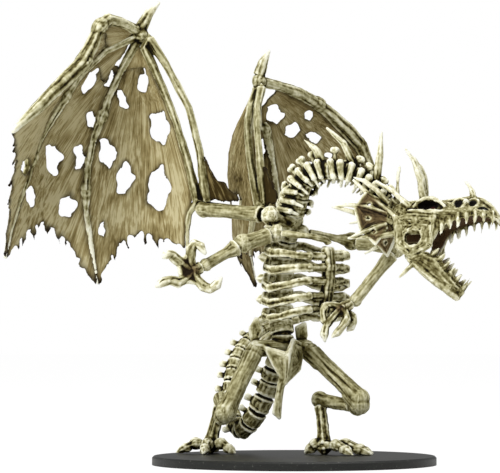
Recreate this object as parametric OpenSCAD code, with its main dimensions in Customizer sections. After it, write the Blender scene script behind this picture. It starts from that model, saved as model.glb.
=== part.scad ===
// Skeletal dragon figure on a round base, built as the castings of a display kit.
// Millimetres, +Z up, origin at the centre of the underside of the base.
// The figure strides to +X and towards -Y, so -Y is the side it is looked at from.

/* [Base] */
// Diameter of the round base
base_d = 130; // [122:1:160]
// Thickness of the base
base_h = 4; // [3.5:0.5:8]
// Bevel around the top edge of the base
base_bevel = 0.8; // [0.4:0.1:1.5]

/* [Fits] */
// Diameter of a locating peg
peg_d = 2; // [1.6:0.1:2.4]
// Length of a locating peg
peg_l = 2.4; // [2:0.1:3]
// Clearance round a peg and at its end
peg_clear = 0.1; // [0.05:0.05:0.2]
// Glue gap between neighbouring castings
glue_gap = 0.15; // [0.05:0.05:0.25]

/* [Trunk] */
// Radius of a back vertebra
back_r = 5.2; // [4.6:0.1:5.6]
// Length of the spines on the back
back_spine_l = 14; // [11:0.5:16]
// Half thickness of a rib
rib_r = 1.8; // [1.5:0.1:2.1]
// Half width of the rib cage
cage_half_w = 20; // [18:0.5:21]
// Depth of the rib cage from spine to breastbone
cage_depth = 31; // [29:0.5:32]
// Half width of the breastbone
breast_r = 2.2; // [1.8:0.1:2.6]
// Half thickness of a collarbone
collar_r = 1.7; // [1.3:0.1:2]

/* [Neck and tail] */
// Radius of a vertebra at the foot of the neck
neck_low_r = 5.2; // [4.6:0.1:5.6]
// Radius of a vertebra behind the skull
neck_high_r = 4; // [3.5:0.1:4.6]
// Radius of the tail at the pelvis
tail_root_r = 5; // [4.4:0.1:5.4]
// Radius of the tail at its end
tail_tip_r = 1.6; // [1.2:0.1:2]
// Length of the longest neck spike
neck_spike_l = 17; // [13:0.5:20]

/* [Head] */
// Length of an upper tooth
tooth_l = 4.6; // [3.6:0.1:5.4]
// Thickness of a tooth at its root
tooth_d = 2.6; // [2:0.1:3]
// Opening angle of the lower jaw
jaw_open = 39; // [34:1:42]
// Length of the crest horn
crest_l = 24; // [18:0.5:28]
// Thickness of a frill sheet
frill_t = 0.9; // [0.7:0.1:1.2]

/* [Limbs] */
// Radius of the knee knob
knee_r = 4.6; // [4:0.1:5]
// Radius of the condyle that carries the shin
condyle_r = 3.8; // [3.4:0.1:4]
// Radius of the heel knob
hock_r = 3.6; // [3.2:0.1:4]
// Half thickness of a thigh shaft
thigh_r = 3.7; // [3.2:0.1:4]
// Half thickness of a shin shaft
shin_r = 2.7; // [2.3:0.1:3]
// Radius of the shoulder knob of an arm
shoulder_r = 4.4; // [4:0.1:4.8]
// Radius of the elbow knob of an arm
elbow_r = 4.2; // [3.6:0.1:4.6]
// Half thickness of a forearm shaft
forearm_r = 2.4; // [2:0.1:2.8]
// Radius of the wrist knob of an arm
wrist_r = 2.8; // [2.4:0.1:3.2]
// Half thickness of a toe
toe_r = 2.3; // [2:0.1:2.5]
// Half thickness of a hand finger
digit_r = 2; // [1.7:0.1:2.2]

/* [Wings] */
// Radius of the wing shoulder knob
wing_knob_r = 4.9; // [4.4:0.1:5.2]
// Half thickness of the wing's upper arm
wing_arm_r = 3.2; // [2.8:0.1:3.6]
// Radius of the wing elbow knob
wing_elbow_r = 4; // [3.6:0.1:4.4]
// Half thickness of a wing forearm bone
wing_fore_r = 2.1; // [1.8:0.1:2.3]
// Radius of the wing wrist knob
wing_wrist_r = 3.4; // [3:0.1:3.8]
// Half thickness of the leading finger at its root
lead_finger_r = 3.2; // [2.8:0.1:3.6]
// Half thickness of the other fingers at their root
finger_r = 2; // [1.7:0.1:2.3]
// Thickness of the wing skin
skin_t = 1.1; // [0.8:0.1:1.5]
// How far the wing skin bellies backwards
skin_belly = 9; // [6:0.5:11]

/* [Hidden] */

bone_colour = "#c9c2a0";
skin_colour = "#8c7652";
base_colour = "#202020";
up = [0, 0, 1];

// Directions of the trunk: forward, and to its own right
trunk_turn = 45;
trunk_f = [cos(trunk_turn), -sin(trunk_turn), 0];
trunk_r = [-sin(trunk_turn), -cos(trunk_turn), 0];
// The pelvis and the head are each turned by their own angle
hip_turn = 65;
hip_f = [cos(hip_turn), -sin(hip_turn), 0];
hip_r = [-sin(hip_turn), -cos(hip_turn), 0];
head_turn = 20;
head_tilt = 15;
head_r = [-sin(head_turn), -cos(head_turn), 0];

// Pose, as points above the top of the base.
// The long axis runs from the tip of the tail through the back to the skull.
axis = [[18, 74, 66], [6, 77, 64], [-5, 75, 61], [-15, 70, 58], [-23, 63, 52], [-28, 56, 43],
    [-30, 50, 33], [-31, 46, 19], [-25, 36, 9], [-17, 27, 19], [-11, 24, 33], [-8, 20, 44],
    [-5, 17, 53], [-6, 19, 61], [-6, 21, 70], [-6, 21, 80], [-5, 20, 90], [-4, 17, 98],
    [-2, 14, 105], [-1, 12, 111], [1, 10, 117], [3, 8, 124], [8, 5, 129], [14, 3, 131],
    [20, 1, 131], [26, -1, 130], [32, -3, 126], [36, -5, 122], [41, -7, 117], [46, -9, 112]];
// Seams between the castings, as places along the axis
tip_seam = 3.5;
loop_seam = 8;
root_seam = 10.6;
hip_seam = 12.3;
girdle_seam = 17.2;
neck_seam = 19;
mid_neck_seam = 23.5;
skull_seam = 28.3;
head_at = [46, -9, 112];

hips_at = [-6, 15, 49];
hip_half = 13;
hip_knob_r = 4;
right_hip = hips_at + hip_half * hip_r;
left_hip = hips_at - hip_half * hip_r;
right_knee = [-31, -8, 20];
left_knee = [30, 2, 26];
right_hock = [-34, 28, 25];
left_hock = [12, 24, 25];
right_ball = [-39, 24, 4];
left_ball = [14, 13, 4];
right_toes = [[-55, 20], [-42, 7], [-27, 14], [-36, 33]];
left_toes = [[37, 11], [36, 1], [27, -4], [5, 17]];
// The shin seats on a condyle set out from the knee knob, clear of the thigh
condyle_out = 5;
function condyle(hip, knee, hock) =
    let (thigh = (hip - knee) / norm(hip - knee), shin = (hock - knee) / norm(hock - knee),
        clear = shin - (shin * thigh) * thigh)
    knee + condyle_out * clear / norm(clear);
right_condyle = condyle(right_hip, right_knee, right_hock);
left_condyle = condyle(left_hip, left_knee, left_hock);

right_shoulder = [-8, 2, 102];
left_shoulder = [27, 27, 99];
right_elbow = [-23, -6, 97];
left_elbow = [47, 12, 95];
right_wrist = [-40, -14, 87];
left_wrist = [28, -1, 71];
right_palm = [-46, -17, 84];
left_palm = [22, -5, 67];

right_wing_root = [-11, 5, 110];
left_wing_root = [0, 25, 109];
right_wing_elbow = [-42, 24, 114];
left_wing_elbow = [-15, 52, 113];
right_wing_wrist = [-72, 28, 196];
left_wing_wrist = [-17, 84, 179];
right_lead = [[-72, 28, 197], [-84, 17, 202], [-90, 11, 198], [-96, 6, 183], [-104, -2, 173],
    [-119, -16, 156], [-127, -24, 147]];
right_second = [[-73, 28, 196], [-93, 22, 185], [-107, 18, 166], [-117, 16, 149],
    [-122, 15, 137], [-126, 14, 123], [-131, 14, 107], [-134, 15, 91]];
right_third = [[-73, 29, 194], [-85, 29, 172], [-90, 30, 158], [-96, 31, 141], [-98, 31, 123],
    [-97, 31, 108], [-92, 30, 79]];
right_fore_back = [[-45, 25, 118], [-52, 26, 145], [-59, 27, 165], [-70, 28, 190]];
right_fore_front = [[-41, 23, 117], [-44, 24, 141], [-49, 25, 161], [-60, 26, 182], [-68, 27, 194]];
right_spur = [[-45, 25, 118], [-49, 27, 112], [-50, 28, 104], [-50, 28, 96]];
right_thumb = [[-72, 28, 199], [-68, 27, 206], [-63, 26, 211]];
left_lead = [[-17, 85, 179], [-2, 97, 176], [12, 112, 170], [24, 123, 160], [33, 131, 151],
    [39, 137, 138], [44, 141, 128]];
left_second = [[-17, 86, 178], [-18, 98, 160], [-14, 103, 156], [-10, 118, 135], [-9, 124, 126],
    [-7, 134, 103], [-5, 143, 85]];
left_third = [[-18, 86, 176], [-23, 93, 149], [-25, 99, 126], [-24, 103, 102], [-19, 104, 79]];
left_fore_back = [[-17, 55, 117], [-22, 69, 145], [-22, 77, 163], [-18, 83, 174]];
left_fore_front = [[-14, 53, 116], [-17, 64, 145], [-18, 73, 163], [-16, 80, 175]];
left_spur = [[-17, 55, 117], [-20, 59, 110], [-21, 62, 102], [-21, 62, 93]];
left_thumb = [[-17, 84, 182], [-15, 84, 188], [-12, 84, 194]];

function unit(v) = v / norm(v);
function mix(a, b, t) = a + (b - a) * t;
// Smooth curve through hand-placed points, or through a list of sizes
function on_curve(p, s) =
    let (last = len(p) - 1, i = min(max(floor(s), 0), last - 1), t = s - i,
        a = p[max(i - 1, 0)], b = p[i], c = p[i + 1], d = p[min(i + 2, last)])
    0.5 * (2 * b + (c - a) * t + (2 * a - 5 * b + 4 * c - d) * t ^ 2
        + (3 * b - a - 3 * c + d) * t ^ 3);
function share(p, t) = len(p) == 1 ? p[0] : on_curve(p, t * (len(p) - 1));
function heading(p, s) =
    let (step = 0.05, last = len(p) - 1)
    unit(on_curve(p, min(s + step, last)) - on_curve(p, max(s - step, 0)));
// Oval cross-section square to a direction
function ring(c, dir, roll, w, h, sides) =
    let (across = unit(cross(dir, roll)), tall = cross(across, dir), step = 360 / sides)
    [for (k = [0.5 : sides]) c + w * cos(k * step) * across + h * sin(k * step) * tall];
// Rings along part of a curve, with half widths and half heights shared out along it
function rings(p, s0, s1, steps, w, h, roll, sides) =
    [for (i = [0 : steps]) let (s = mix(s0, s1, i / steps))
        ring(on_curve(p, s), heading(p, s), roll, share(w, i / steps), share(h, i / steps), sides)];

module loft(r) {
    n = len(r[0]);
    m = len(r);
    polyhedron(
        points = [for (a = r) each a],
        faces = concat(
            [[for (k = [n - 1 : -1 : 0]) k]],
            [for (i = [0 : m - 2], k = [0 : n - 1]) let (a = i * n + k, b = i * n + (k + 1) % n)
                each [[a, b, b + n], [a, b + n, a + n]]],
            [[for (k = [0 : n - 1]) (m - 1) * n + k]]));
}
// Bone drawn as one lofted body
module bone(p, w, h = undef, steps = 6, sides = 7, roll = up) {
    loft(rings(p, 0, len(p) - 1, steps, w, is_undef(h) ? w : h, roll, sides));
}
// Bone drawn as a chain of short blended lengths, for pieces that fork or cross
module chain(p, w, h = undef, steps = 6, sides = 6, roll = up, s0 = 0, s1 = undef, grow = 0) {
    r = rings(p, s0, is_undef(s1) ? len(p) - 1 : s1, steps, [for (a = w) a + grow],
        [for (a = is_undef(h) ? w : h) a + grow], roll, sides);
    for (i = [0 : steps - 1]) hull() loft([r[i], r[i + 1]]);
}
// Faceted lump at the end of a small form
module bead(p, r) {
    e = 1.25 * r;
    translate(p) polyhedron(
        points = [[e, 0, 0], [-e, 0, 0], [0, e, 0], [0, -e, 0], [0, 0, e], [0, 0, -e]],
        faces = [for (x = [0, 1], y = [2, 3], z = [4, 5]) (x + y + z) % 2 == 0 ? [x, z, y] : [x, y, z]]);
}
// Small spike or stub between two points
module prong(a, b, ra, rb) {
    hull() {
        bead(a, ra);
        bead(b, rb);
    }
}
module along(p, dir) {
    translate(p) rotate([0, acos(dir.z), atan2(dir.y, dir.x)]) children();
}
// Peg of a casting that seats on a knob, and the socket for it in the knob
module peg(knob, dir, r, sides = 24) {
    root = 1;
    along(knob + dir * (r - peg_l), dir) cylinder(d = peg_d, h = peg_l + glue_gap + root, $fn = sides);
}
module socket(knob, dir, r, sides = 24) {
    mouth = 2;
    along(knob + dir * (r - peg_l - peg_clear), dir)
        cylinder(d = peg_d + 2 * peg_clear, h = peg_l + mouth, $fn = sides);
}
// Round knob at the end of a shaft, with the ball's seam turned away from the next piece
module knob(p, r, dir, next) {
    over = unit(cross(dir, cross(next, dir)));
    a = atan2(dir.y, dir.x);
    // Where the seam lies before it is turned
    seam = [dir.z * cos(a), dir.z * sin(a), -sqrt(1 - dir.z ^ 2)];
    along(p, dir) rotate(180 + atan2(over * cross(dir, seam), over * seam)) sphere(r, $fn = 32);
}
// Limb bone: seats on the last knob and ends in its own knob
module limb_shaft(from, from_r, to, to_r, shaft, flare, grow = 0, sides = 32) {
    dir = unit(to - from);
    seat = from_r + glue_gap;
    long = norm(to - from) - seat;
    along(from + dir * seat, dir) rotate_extrude($fn = sides)
        polygon([[0, 0], [flare + grow, 0], [shaft + grow, 0.3 * long], [shaft + grow, 0.65 * long],
            [0.9 * to_r + grow, long], [0, long]]);
}
module limb_body(from, from_r, to, to_r, next, shaft, flare) {
    limb_shaft(from, from_r, to, to_r, shaft, flare);
    knob(to, to_r, unit(to - from), unit(next - to));
    peg(from, unit(to - from), from_r);
}
// Limb bone whose knob has a socket for the next piece
module limb(from, from_r, to, to_r, next, shaft, flare) {
    difference() {
        limb_body(from, from_r, to, to_r, next, shaft, flare);
        socket(to, unit(next - to), to_r);
    }
}
module on_base() {
    translate([0, 0, base_h]) children();
}
module bony() {
    color(bone_colour) on_base() children();
}
module skinny() {
    color(skin_colour) on_base() children();
}

// Run of vertebrae on the long axis: spools with waists between them, drawn out sideways by a
// given width, each with a spine on its back where it has one
module vertebrae(s0, s1, count, r0, r1, side, wide, spine = 0, spine_r = 1.6, tip_r = 1.4, sides = 6) {
    pitch = (s1 - s0) / count;
    rim = 0.3 * pitch;
    waist = 0.6;
    function radius(s) = mix(r0, r1, (s - s0) / (s1 - s0));
    function disc(s, grow, extra) =
        ring(on_curve(axis, s), heading(axis, s), side, grow * radius(s), grow * radius(s) + extra, sides);
    profile = concat([disc(s0, waist, 0)],
        [for (i = [0 : count - 1]) let (s = s0 + pitch * (i + 0.5))
            each [disc(s - rim, 1, wide), disc(s + rim, 1, wide), disc(s + pitch / 2, waist, 0)]]);
    loft(profile);
    if (spine > 0)
        for (i = [0 : count - 1]) {
            s = s0 + pitch * (i + 0.5);
            t = heading(axis, s);
            back = unit(cross(side, t));
            foot = on_curve(axis, s) + back * 0.7 * radius(s);
            prong(foot, foot + back * (0.3 * radius(s) + spine) - t * 0.15 * spine, spine_r, tip_r);
        }
}

module base() {
    color(base_colour) difference() {
        union() {
            cylinder(d = base_d, h = base_h - base_bevel, $fn = 128);
            translate([0, 0, base_h - base_bevel])
                cylinder(d1 = base_d, d2 = base_d - 2 * base_bevel, h = base_bevel, $fn = 128);
        }
        for (ball = [right_ball, left_ball])
            translate([ball.x, ball.y, base_h - peg_l - peg_clear])
                cylinder(d = peg_d + 2 * peg_clear, h = peg_l + 2 * peg_clear, $fn = 24);
    }
}

// Foot: ankle bone from the heel knob down to the ball, with clawed toes cut flat underneath
module foot(condyle, hock, ball, toes) {
    dir = unit(ball - hock);
    tall = 60;
    difference() {
        union() {
            chain([hock + dir * (hock_r + glue_gap), mix(hock, ball, 0.6), ball],
                toe_r * [1.3, 1.2, 1.3, 1.6], steps = 3, roll = trunk_f);
            bead(ball - [0, 0, 1], 1.4 * toe_r);
            for (toe = toes) {
                tip = [toe.x, toe.y, 0.4];
                knuckle = mix(ball, tip, 0.45) + [0, 0, 0.9 * toe_r];
                chain([ball, knuckle, mix(ball, tip, 0.72) + [0, 0, 0.6 * toe_r], tip],
                    toe_r * [1.2, 0.75, 1.05, 0.8, 0.9, 0.1], steps = 5, sides = 5);
            }
        }
        translate([0, 0, -tall / 2]) cube([4 * tall, 4 * tall, tall], center = true);
        limb_shaft(condyle, condyle_r, hock, hock_r, shin_r, shin_r, glue_gap, 12);
    }
    translate([ball.x, ball.y, -peg_l]) cylinder(d = peg_d, h = peg_l + 1, $fn = 8);
    peg(hock, dir, hock_r, 8);
}
module right_foot() {
    bony() foot(right_condyle, right_hock, right_ball, right_toes);
}
module left_foot() {
    bony() foot(left_condyle, left_hock, left_ball, left_toes);
}
module right_shin() {
    bony() limb(right_condyle, condyle_r, right_hock, hock_r, right_ball, shin_r, shin_r);
}
module left_shin() {
    bony() limb(left_condyle, condyle_r, left_hock, hock_r, left_ball, shin_r, shin_r);
}
module thigh(hip, knee, condyle, hock) {
    difference() {
        union() {
            limb_body(hip, hip_knob_r, knee, knee_r, condyle, thigh_r, 1.15 * thigh_r);
            knob(condyle, condyle_r, unit(condyle - knee), unit(hock - condyle));
        }
        socket(condyle, unit(hock - condyle), condyle_r);
    }
}
module right_thigh() {
    bony() thigh(right_hip, right_knee, right_condyle, right_hock);
}
module left_thigh() {
    bony() thigh(left_hip, left_knee, left_condyle, left_hock);
}

// Pelvis: stretch of the axis with two hip blades, a front shield and a hanging prong
function hip_place(f, r, z) = hips_at + f * hip_f + r * hip_r + [0, 0, z];
module pelvis() {
    bony() difference() {
        union() {
            chain(axis, [tail_root_r, back_r + 0.8, back_r], steps = 4, sides = 8, roll = hip_r,
                s0 = root_seam, s1 = hip_seam);
            for (m = [-1, 1]) {
                prong(hip_place(0, 0, 0), hip_place(0, m * hip_half, 0), 3.4, hip_knob_r);
                hull() {
                    bead(hip_place(-3, m * 9, -2), 1.8);
                    bead(hip_place(-7, m * 12, 11), 1.4);
                    bead(hip_place(1, m * 13, 13), 1.4);
                }
                hull() {
                    bead(hip_place(2, 0, 1), 1.6);
                    bead(hip_place(6, m * 8.5, 6), 1.1);
                    bead(hip_place(9, m * 1.5, -15), 1.3);
                    bead(hip_place(8, m * 7, -6), 1.1);
                }
            }
            prong(hip_place(9, 4, -13), hip_place(8, 4.5, -32), 2.8, 1.6);
        }
        for (hip = [[right_hip, right_knee], [left_hip, left_knee]])
            socket(hip[0], unit(hip[1] - hip[0]), hip_knob_r, 8);
    }
}

function tail_r(s) = mix(tail_tip_r, tail_root_r, min(1, s / loop_seam));
module tail_root() {
    bony() vertebrae(loop_seam, root_seam, 5, 0.9 * tail_root_r, tail_root_r, hip_r, 1);
}
module tail_loop() {
    bony() vertebrae(tip_seam, loop_seam, 9, tail_r(tip_seam), 0.9 * tail_root_r, hip_r, 1.2);
}
module tail_tip() {
    bony() vertebrae(0, tip_seam, 8, tail_tip_r, tail_r(tip_seam), hip_r, 0.6, sides = 5);
}

back_count = 6;
module back_spine() {
    bony() vertebrae(hip_seam, girdle_seam, back_count, back_r, back_r, trunk_r, 0,
        back_spine_l - back_r, 1.4, 2, 8);
}

// Comb of ribs with half of the breastbone
rib_mid_z = [63, 70, 77, 85, 93];
rib_front_z = [67, 73, 80, 86, 91];
// Places along the breastbone where the ribs end: forward of the cage's depth, and height
breast_line = [[-3, 67], [-1.5, 73], [0, 80], [0.4, 86], [0, 91]];
// Ends of the breastbone's three lengths in the same way, with their thickness
breast_lengths = [[[-3.5, 64, 0.7], [-1.2, 75, 1.1]], [[-1.5, 73, 0.9], [0.4, 87, 1]],
    [[0.2, 85, 1.1], [-0.5, 95, 0.8]]];
function cage_place(c, f, r, z) = [c.x, c.y, 0] + f * trunk_f + r * trunk_r + [0, 0, z];
module rib_comb(m) {
    pitch = (girdle_seam - hip_seam) / back_count;
    middle = on_curve(axis, hip_seam + pitch * 2.5);
    half = breast_r / 2;
    // Rib path as shares of the cage's depth and half width
    bow = [[0.06, 0.6], [0.26, 0.9], [0.55, 1], [0.82, 0.88], [0.95, 0.5]];
    function breast(q) = cage_place(middle, cage_depth + q[0], m * (half + glue_gap / 2), q[1]);
    for (i = [0 : 4]) {
        c = on_curve(axis, hip_seam + pitch * (i + 1.5));
        z = [c.z, rib_mid_z[i], rib_mid_z[i], mix(rib_mid_z[i], rib_front_z[i], 0.6), rib_front_z[i]];
        path = concat([cage_place(c, 0, m * (back_r + 3 * glue_gap), c.z)],
            [for (k = [0 : 4]) cage_place(mix(c, middle, k / 4), bow[k][0] * cage_depth,
                m * bow[k][1] * cage_half_w, z[k])]);
        bone(path, rib_r * [1, 0.85, 0.8, 0.8, 0.9], rib_r * [1.1, 1.15, 1.1, 1, 1], steps = 6, sides = 4);
        // Cartilage from the end of the rib into the breastbone
        prong(on_curve(path, 4.8), breast(breast_line[i]), 0.8 * rib_r, 0.65 * rib_r);
    }
    // Breastbone in three lengths, each a little past the next
    for (k = [0 : 2])
        hull() loft([for (q = breast_lengths[k])
            ring(breast(q), up, trunk_f, sqrt(2) * half, sqrt(2) * rib_r * q[2], 4)]);
}
module right_ribs() {
    bony() rib_comb(1);
}
module left_ribs() {
    bony() rib_comb(-1);
}

// Block on top of the spine that carries the neck, the arms and the wings
collar_knob = [4, 14, 103];
collar_knob_r = 3.4;
module shoulder_girdle() {
    c = on_curve(axis, (girdle_seam + neck_seam) / 2);
    bony() difference() {
        union() {
            chain(axis, [back_r, neck_low_r, neck_low_r], steps = 3, sides = 8, roll = trunk_r,
                s0 = girdle_seam, s1 = neck_seam);
            for (k = [[right_shoulder, shoulder_r], [right_wing_root, wing_knob_r],
                    [left_wing_root, wing_knob_r], [collar_knob, collar_knob_r]]) {
                prong(c, mix(c, k[0], 0.9), 3.4, 0.8 * k[1]);
                translate(k[0]) sphere(k[1], $fn = 7);
            }
            prong(c, c - trunk_f * (back_spine_l + 1), 2.2, 1.8);
        }
        socket(right_shoulder, unit(right_elbow - right_shoulder), shoulder_r, 6);
        socket(right_wing_root, unit(right_wing_elbow - right_wing_root), wing_knob_r, 6);
        socket(left_wing_root, unit(left_wing_elbow - left_wing_root), wing_knob_r, 6);
        socket(collar_knob, unit(left_shoulder - collar_knob), collar_knob_r, 6);
    }
}

module right_collarbone() {
    middle = on_curve(axis, hip_seam + (girdle_seam - hip_seam) / back_count * 2.5);
    rest = cage_place(middle, cage_depth, 0, 96 + 4 * glue_gap);
    start = [-6, -3.5, 101.5];
    bony() bone([start, [0, -5, 101], [8, -6, 100], rest + [-1, -0.5, 2], rest],
        collar_r * [0.8, 1.1, 1, 1, 1, 1.1], steps = 7, sides = 7);
}
module left_collarbone() {
    bony() limb(collar_knob, collar_knob_r, left_shoulder, shoulder_r, left_elbow, collar_r, 1.2 * collar_r);
}
module right_upper_arm() {
    bony() limb(right_shoulder, shoulder_r, right_elbow, elbow_r, right_wrist, 0.8 * elbow_r, 0.85 * elbow_r);
}
module left_upper_arm() {
    bony() limb(left_shoulder, shoulder_r, left_elbow, elbow_r, left_wrist, 0.7 * elbow_r, 0.85 * elbow_r);
}
module right_forearm() {
    bony() limb(right_elbow, elbow_r, right_wrist, wrist_r, right_palm, forearm_r, 1.6 * forearm_r);
}
module left_forearm() {
    bony() limb(left_elbow, elbow_r, left_wrist, wrist_r, left_palm, forearm_r, 1.4 * forearm_r);
}

// Hand: palm, clawed fingers and the webs between neighbouring fingers
module hand(wrist, palm, digits, webs) {
    dir = unit(palm - wrist);
    chain([wrist + dir * (wrist_r + glue_gap), palm], digit_r * [1.2, 1.5], steps = 1);
    peg(wrist, dir, wrist_r, 8);
    for (d = digits)
        chain(concat([palm], d), digit_r * [1.1, 0.85, 1.05, 0.8, 0.9, 0.15], steps = 5, sides = 5);
    for (w = webs) hull() {
        bead(palm, 0.7);
        bead(mix(palm, digits[w][0], 0.9), 0.5);
        bead(mix(palm, digits[w + 1][0], 0.9), 0.5);
    }
}
module right_hand() {
    bony() hand(right_wrist, right_palm, [
        [[-47, -17, 93], [-44, -18, 97], [-40, -19, 92]],
        [[-53, -19, 89], [-56, -21, 92], [-59, -23, 90]],
        [[-51, -20, 79], [-57, -22, 80], [-62, -24, 77]],
        [[-42, -19, 78], [-37, -20, 76], [-33, -20, 81]]], [0, 1, 2]);
}
module left_hand() {
    bony() hand(left_wrist, left_palm, [
        [[15, -6, 69], [13, -9, 64], [15, -10, 59]],
        [[18, -8, 64], [14, -11, 58], [14, -12, 52]],
        [[24, -9, 63], [21, -12, 58], [17, -13, 54]],
        [[26, -2, 64], [27, -5, 60], [24, -8, 57]]], [0, 1]);
}

module right_wing_arm() {
    bony() limb(right_wing_root, wing_knob_r, right_wing_elbow, wing_elbow_r, right_fore_front[1],
        wing_arm_r, 1.2 * wing_arm_r);
}
module left_wing_arm() {
    bony() limb(left_wing_root, wing_knob_r, left_wing_elbow, wing_elbow_r, left_fore_front[1],
        wing_arm_r, 1.2 * wing_arm_r);
}

// Pair of forearm bones with their joined ends and the spur behind the elbow
fore_w = [1.25, 1, 0.9, 1, 1.25];
module rear_fore_bone(back, spur, grow = 0) {
    chain(back, wing_fore_r * fore_w, steps = 4, sides = 5, grow = grow);
    chain(spur, wing_fore_r * [1, 0.8, 0.6, 0.4], steps = 3, sides = 5, grow = grow);
}
module wing_fore_bones(back, front, spur, grow = 0) {
    rear_fore_bone(back, spur, grow);
    chain(front, wing_fore_r * fore_w, steps = 4, sides = 5, grow = grow);
    prong(back[0], front[0], wing_fore_r + grow, wing_fore_r + grow);
    prong(back[len(back) - 1], front[len(front) - 1], wing_fore_r + grow, wing_fore_r + grow);
}
module right_fore_bones(grow = 0) {
    wing_fore_bones(right_fore_back, right_fore_front, right_spur, grow);
}
module left_fore_bones(grow = 0) {
    wing_fore_bones(left_fore_back, left_fore_front, left_spur, grow);
}
// Space round the elbow knob, as a coarse ball drawn outside the round one
module elbow_room(elbow) {
    sides = 12;
    translate(elbow) sphere((wing_elbow_r + glue_gap) / cos(180 / sides) ^ 2, $fn = sides);
}
module fore_peg(elbow, toward) {
    intersection() {
        peg(elbow, unit(toward - elbow), wing_elbow_r, 8);
        translate(elbow) sphere(wing_elbow_r + 2, $fn = 12);
    }
}
module right_wing_forearm() {
    bony() {
        difference() {
            right_fore_bones();
            elbow_room(right_wing_elbow);
            right_finger_bones(glue_gap);
        }
        fore_peg(right_wing_elbow, right_fore_front[1]);
    }
}
module left_wing_forearm() {
    bony() {
        difference() {
            left_fore_bones();
            elbow_room(left_wing_elbow);
            left_finger_bones(glue_gap);
        }
        fore_peg(left_wing_elbow, left_fore_front[1]);
    }
}

// Wrist knob with the thumb claw and three long jointed fingers
finger_steps = 9;
lead_w = [0.7, 0.65, 0.85, 0.8, 1.1, 1.1, 0.9, 0.6, 0.25];
long_w = [1.1, 0.85, 0.8, 1.1, 0.8, 0.75, 1, 0.65, 0.5, 0.2];
module wing_finger_bones(wrist, lead, second, third, thumb, grow) {
    translate(wrist) sphere(wing_wrist_r + grow, $fn = 9);
    chain(lead, lead_finger_r * lead_w, steps = finger_steps, grow = grow);
    chain(second, finger_r * long_w, steps = finger_steps, sides = 5, grow = grow);
    chain(third, finger_r * long_w, steps = finger_steps, sides = 5, grow = grow);
    chain(thumb, finger_r * [1.4, 1, 0.15], steps = 2, grow = grow);
}
module right_finger_bones(grow = 0) {
    wing_finger_bones(right_wing_wrist, right_lead, right_second, right_third, right_thumb, grow);
}
module left_finger_bones(grow = 0) {
    wing_finger_bones(left_wing_wrist, left_lead, left_second, left_third, left_thumb, grow);
}
module right_wing_fingers() {
    bony() right_finger_bones();
}
module left_wing_fingers() {
    bony() left_finger_bones();
}

// Sheet between two bones that start at the wrist, given as curves with their half widths.
// Its sides follow the steps of the bones. It bellies backwards, and its hanging edge is drawn
// in between the bones and ends in tatters.
module sheet(a, wa, b, wb, draw_in, bulge, first = 1) {
    cols = 4;
    rows = finger_steps - first;
    tatters = 8;
    half = skin_t / 2;
    square = unit(cross(share(b, 0.5) - share(a, 0.5), share(a, 1) + share(b, 1) - a[0] - b[0]));
    belly = -bulge * sign(square * trunk_f) * square;
    function side(p, w, q, t) =
        let (c = share(p, t), dir = heading(p, t * (len(p) - 1)), over = share(q, t) - c)
        c + (share(w, t) + 2 * glue_gap) * unit(over - (over * dir) * dir);
    function place(v, t) =
        mix(side(a, wa, b, t), side(b, wb, a, t), v) + belly * sin(180 * v) * sin(150 * t);
    function hem(v) = 1 - draw_in * sin(180 * v) ^ 0.7;
    function spot(i, j) =
        let (v = i / cols)
        place(v, (first + j) / finger_steps * mix(1, hem(v), j / rows));
    wide = cols + 1;
    count = wide * (rows + 1);
    grid = [for (j = [0 : rows], i = [0 : cols]) spot(i, j)];
    edge = concat([for (i = [0 : cols]) i], [for (j = [1 : rows]) j * wide + cols],
        [for (i = [cols - 1 : -1 : 0]) rows * wide + i], [for (j = [rows - 1 : -1 : 1]) j * wide]);
    polyhedron(
        points = concat([for (p = grid) p - half * square], [for (p = grid) p + half * square]),
        faces = concat(
            [for (j = [0 : rows - 1], i = [0 : cols - 1]) let (k = j * wide + i)
                each [[k, k + 1, k + wide + 1], [k, k + wide + 1, k + wide]]],
            [for (j = [0 : rows - 1], i = [0 : cols - 1]) let (k = count + j * wide + i)
                each [[k, k + wide + 1, k + 1], [k, k + wide, k + wide + 1]]],
            [for (n = [0 : len(edge) - 1]) let (p = edge[n], q = edge[(n + 1) % len(edge)])
                each [[q, p, p + count], [q, p + count, q + count]]]));
    for (n = [1 : tatters]) {
        v = n / (tatters + 1);
        t = hem(v);
        drop = 0.02 + 0.025 * (1 + sin(250 * n)) * sin(180 * v);
        tip = place(v + 0.03 * sin(140 * n), t + drop);
        hull() loft([for (m = [-0.8, 0.8])
            [for (q = [place(v - 0.05, t - 0.03), place(v + 0.05, t - 0.03), tip]) q + m * half * square]]);
    }
}
// Torn hole seen from the front: place across, height, width, length, and its lean to the left
module tear_hole(hole, vary) {
    deep = 400;
    points = 5;
    translate([hole[0], deep / 2, hole[1]]) rotate([90, 0, 0]) linear_extrude(deep) rotate(hole[4])
        polygon([for (k = [0 : points - 1]) let (a = 360 * k / points,
            r = 0.5 + 0.09 * sin(3 * a + 77 * vary) + 0.07 * sin(5 * a + 131 * vary))
            [hole[2] * r * cos(a), hole[3] * r * sin(a)]]);
}
module torn(holes) {
    difference() {
        children();
        for (i = [0 : len(holes) - 1]) tear_hole(holes[i], i + len(holes));
    }
}
lead_half = lead_finger_r * lead_w;
long_half = finger_r * long_w;
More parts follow.
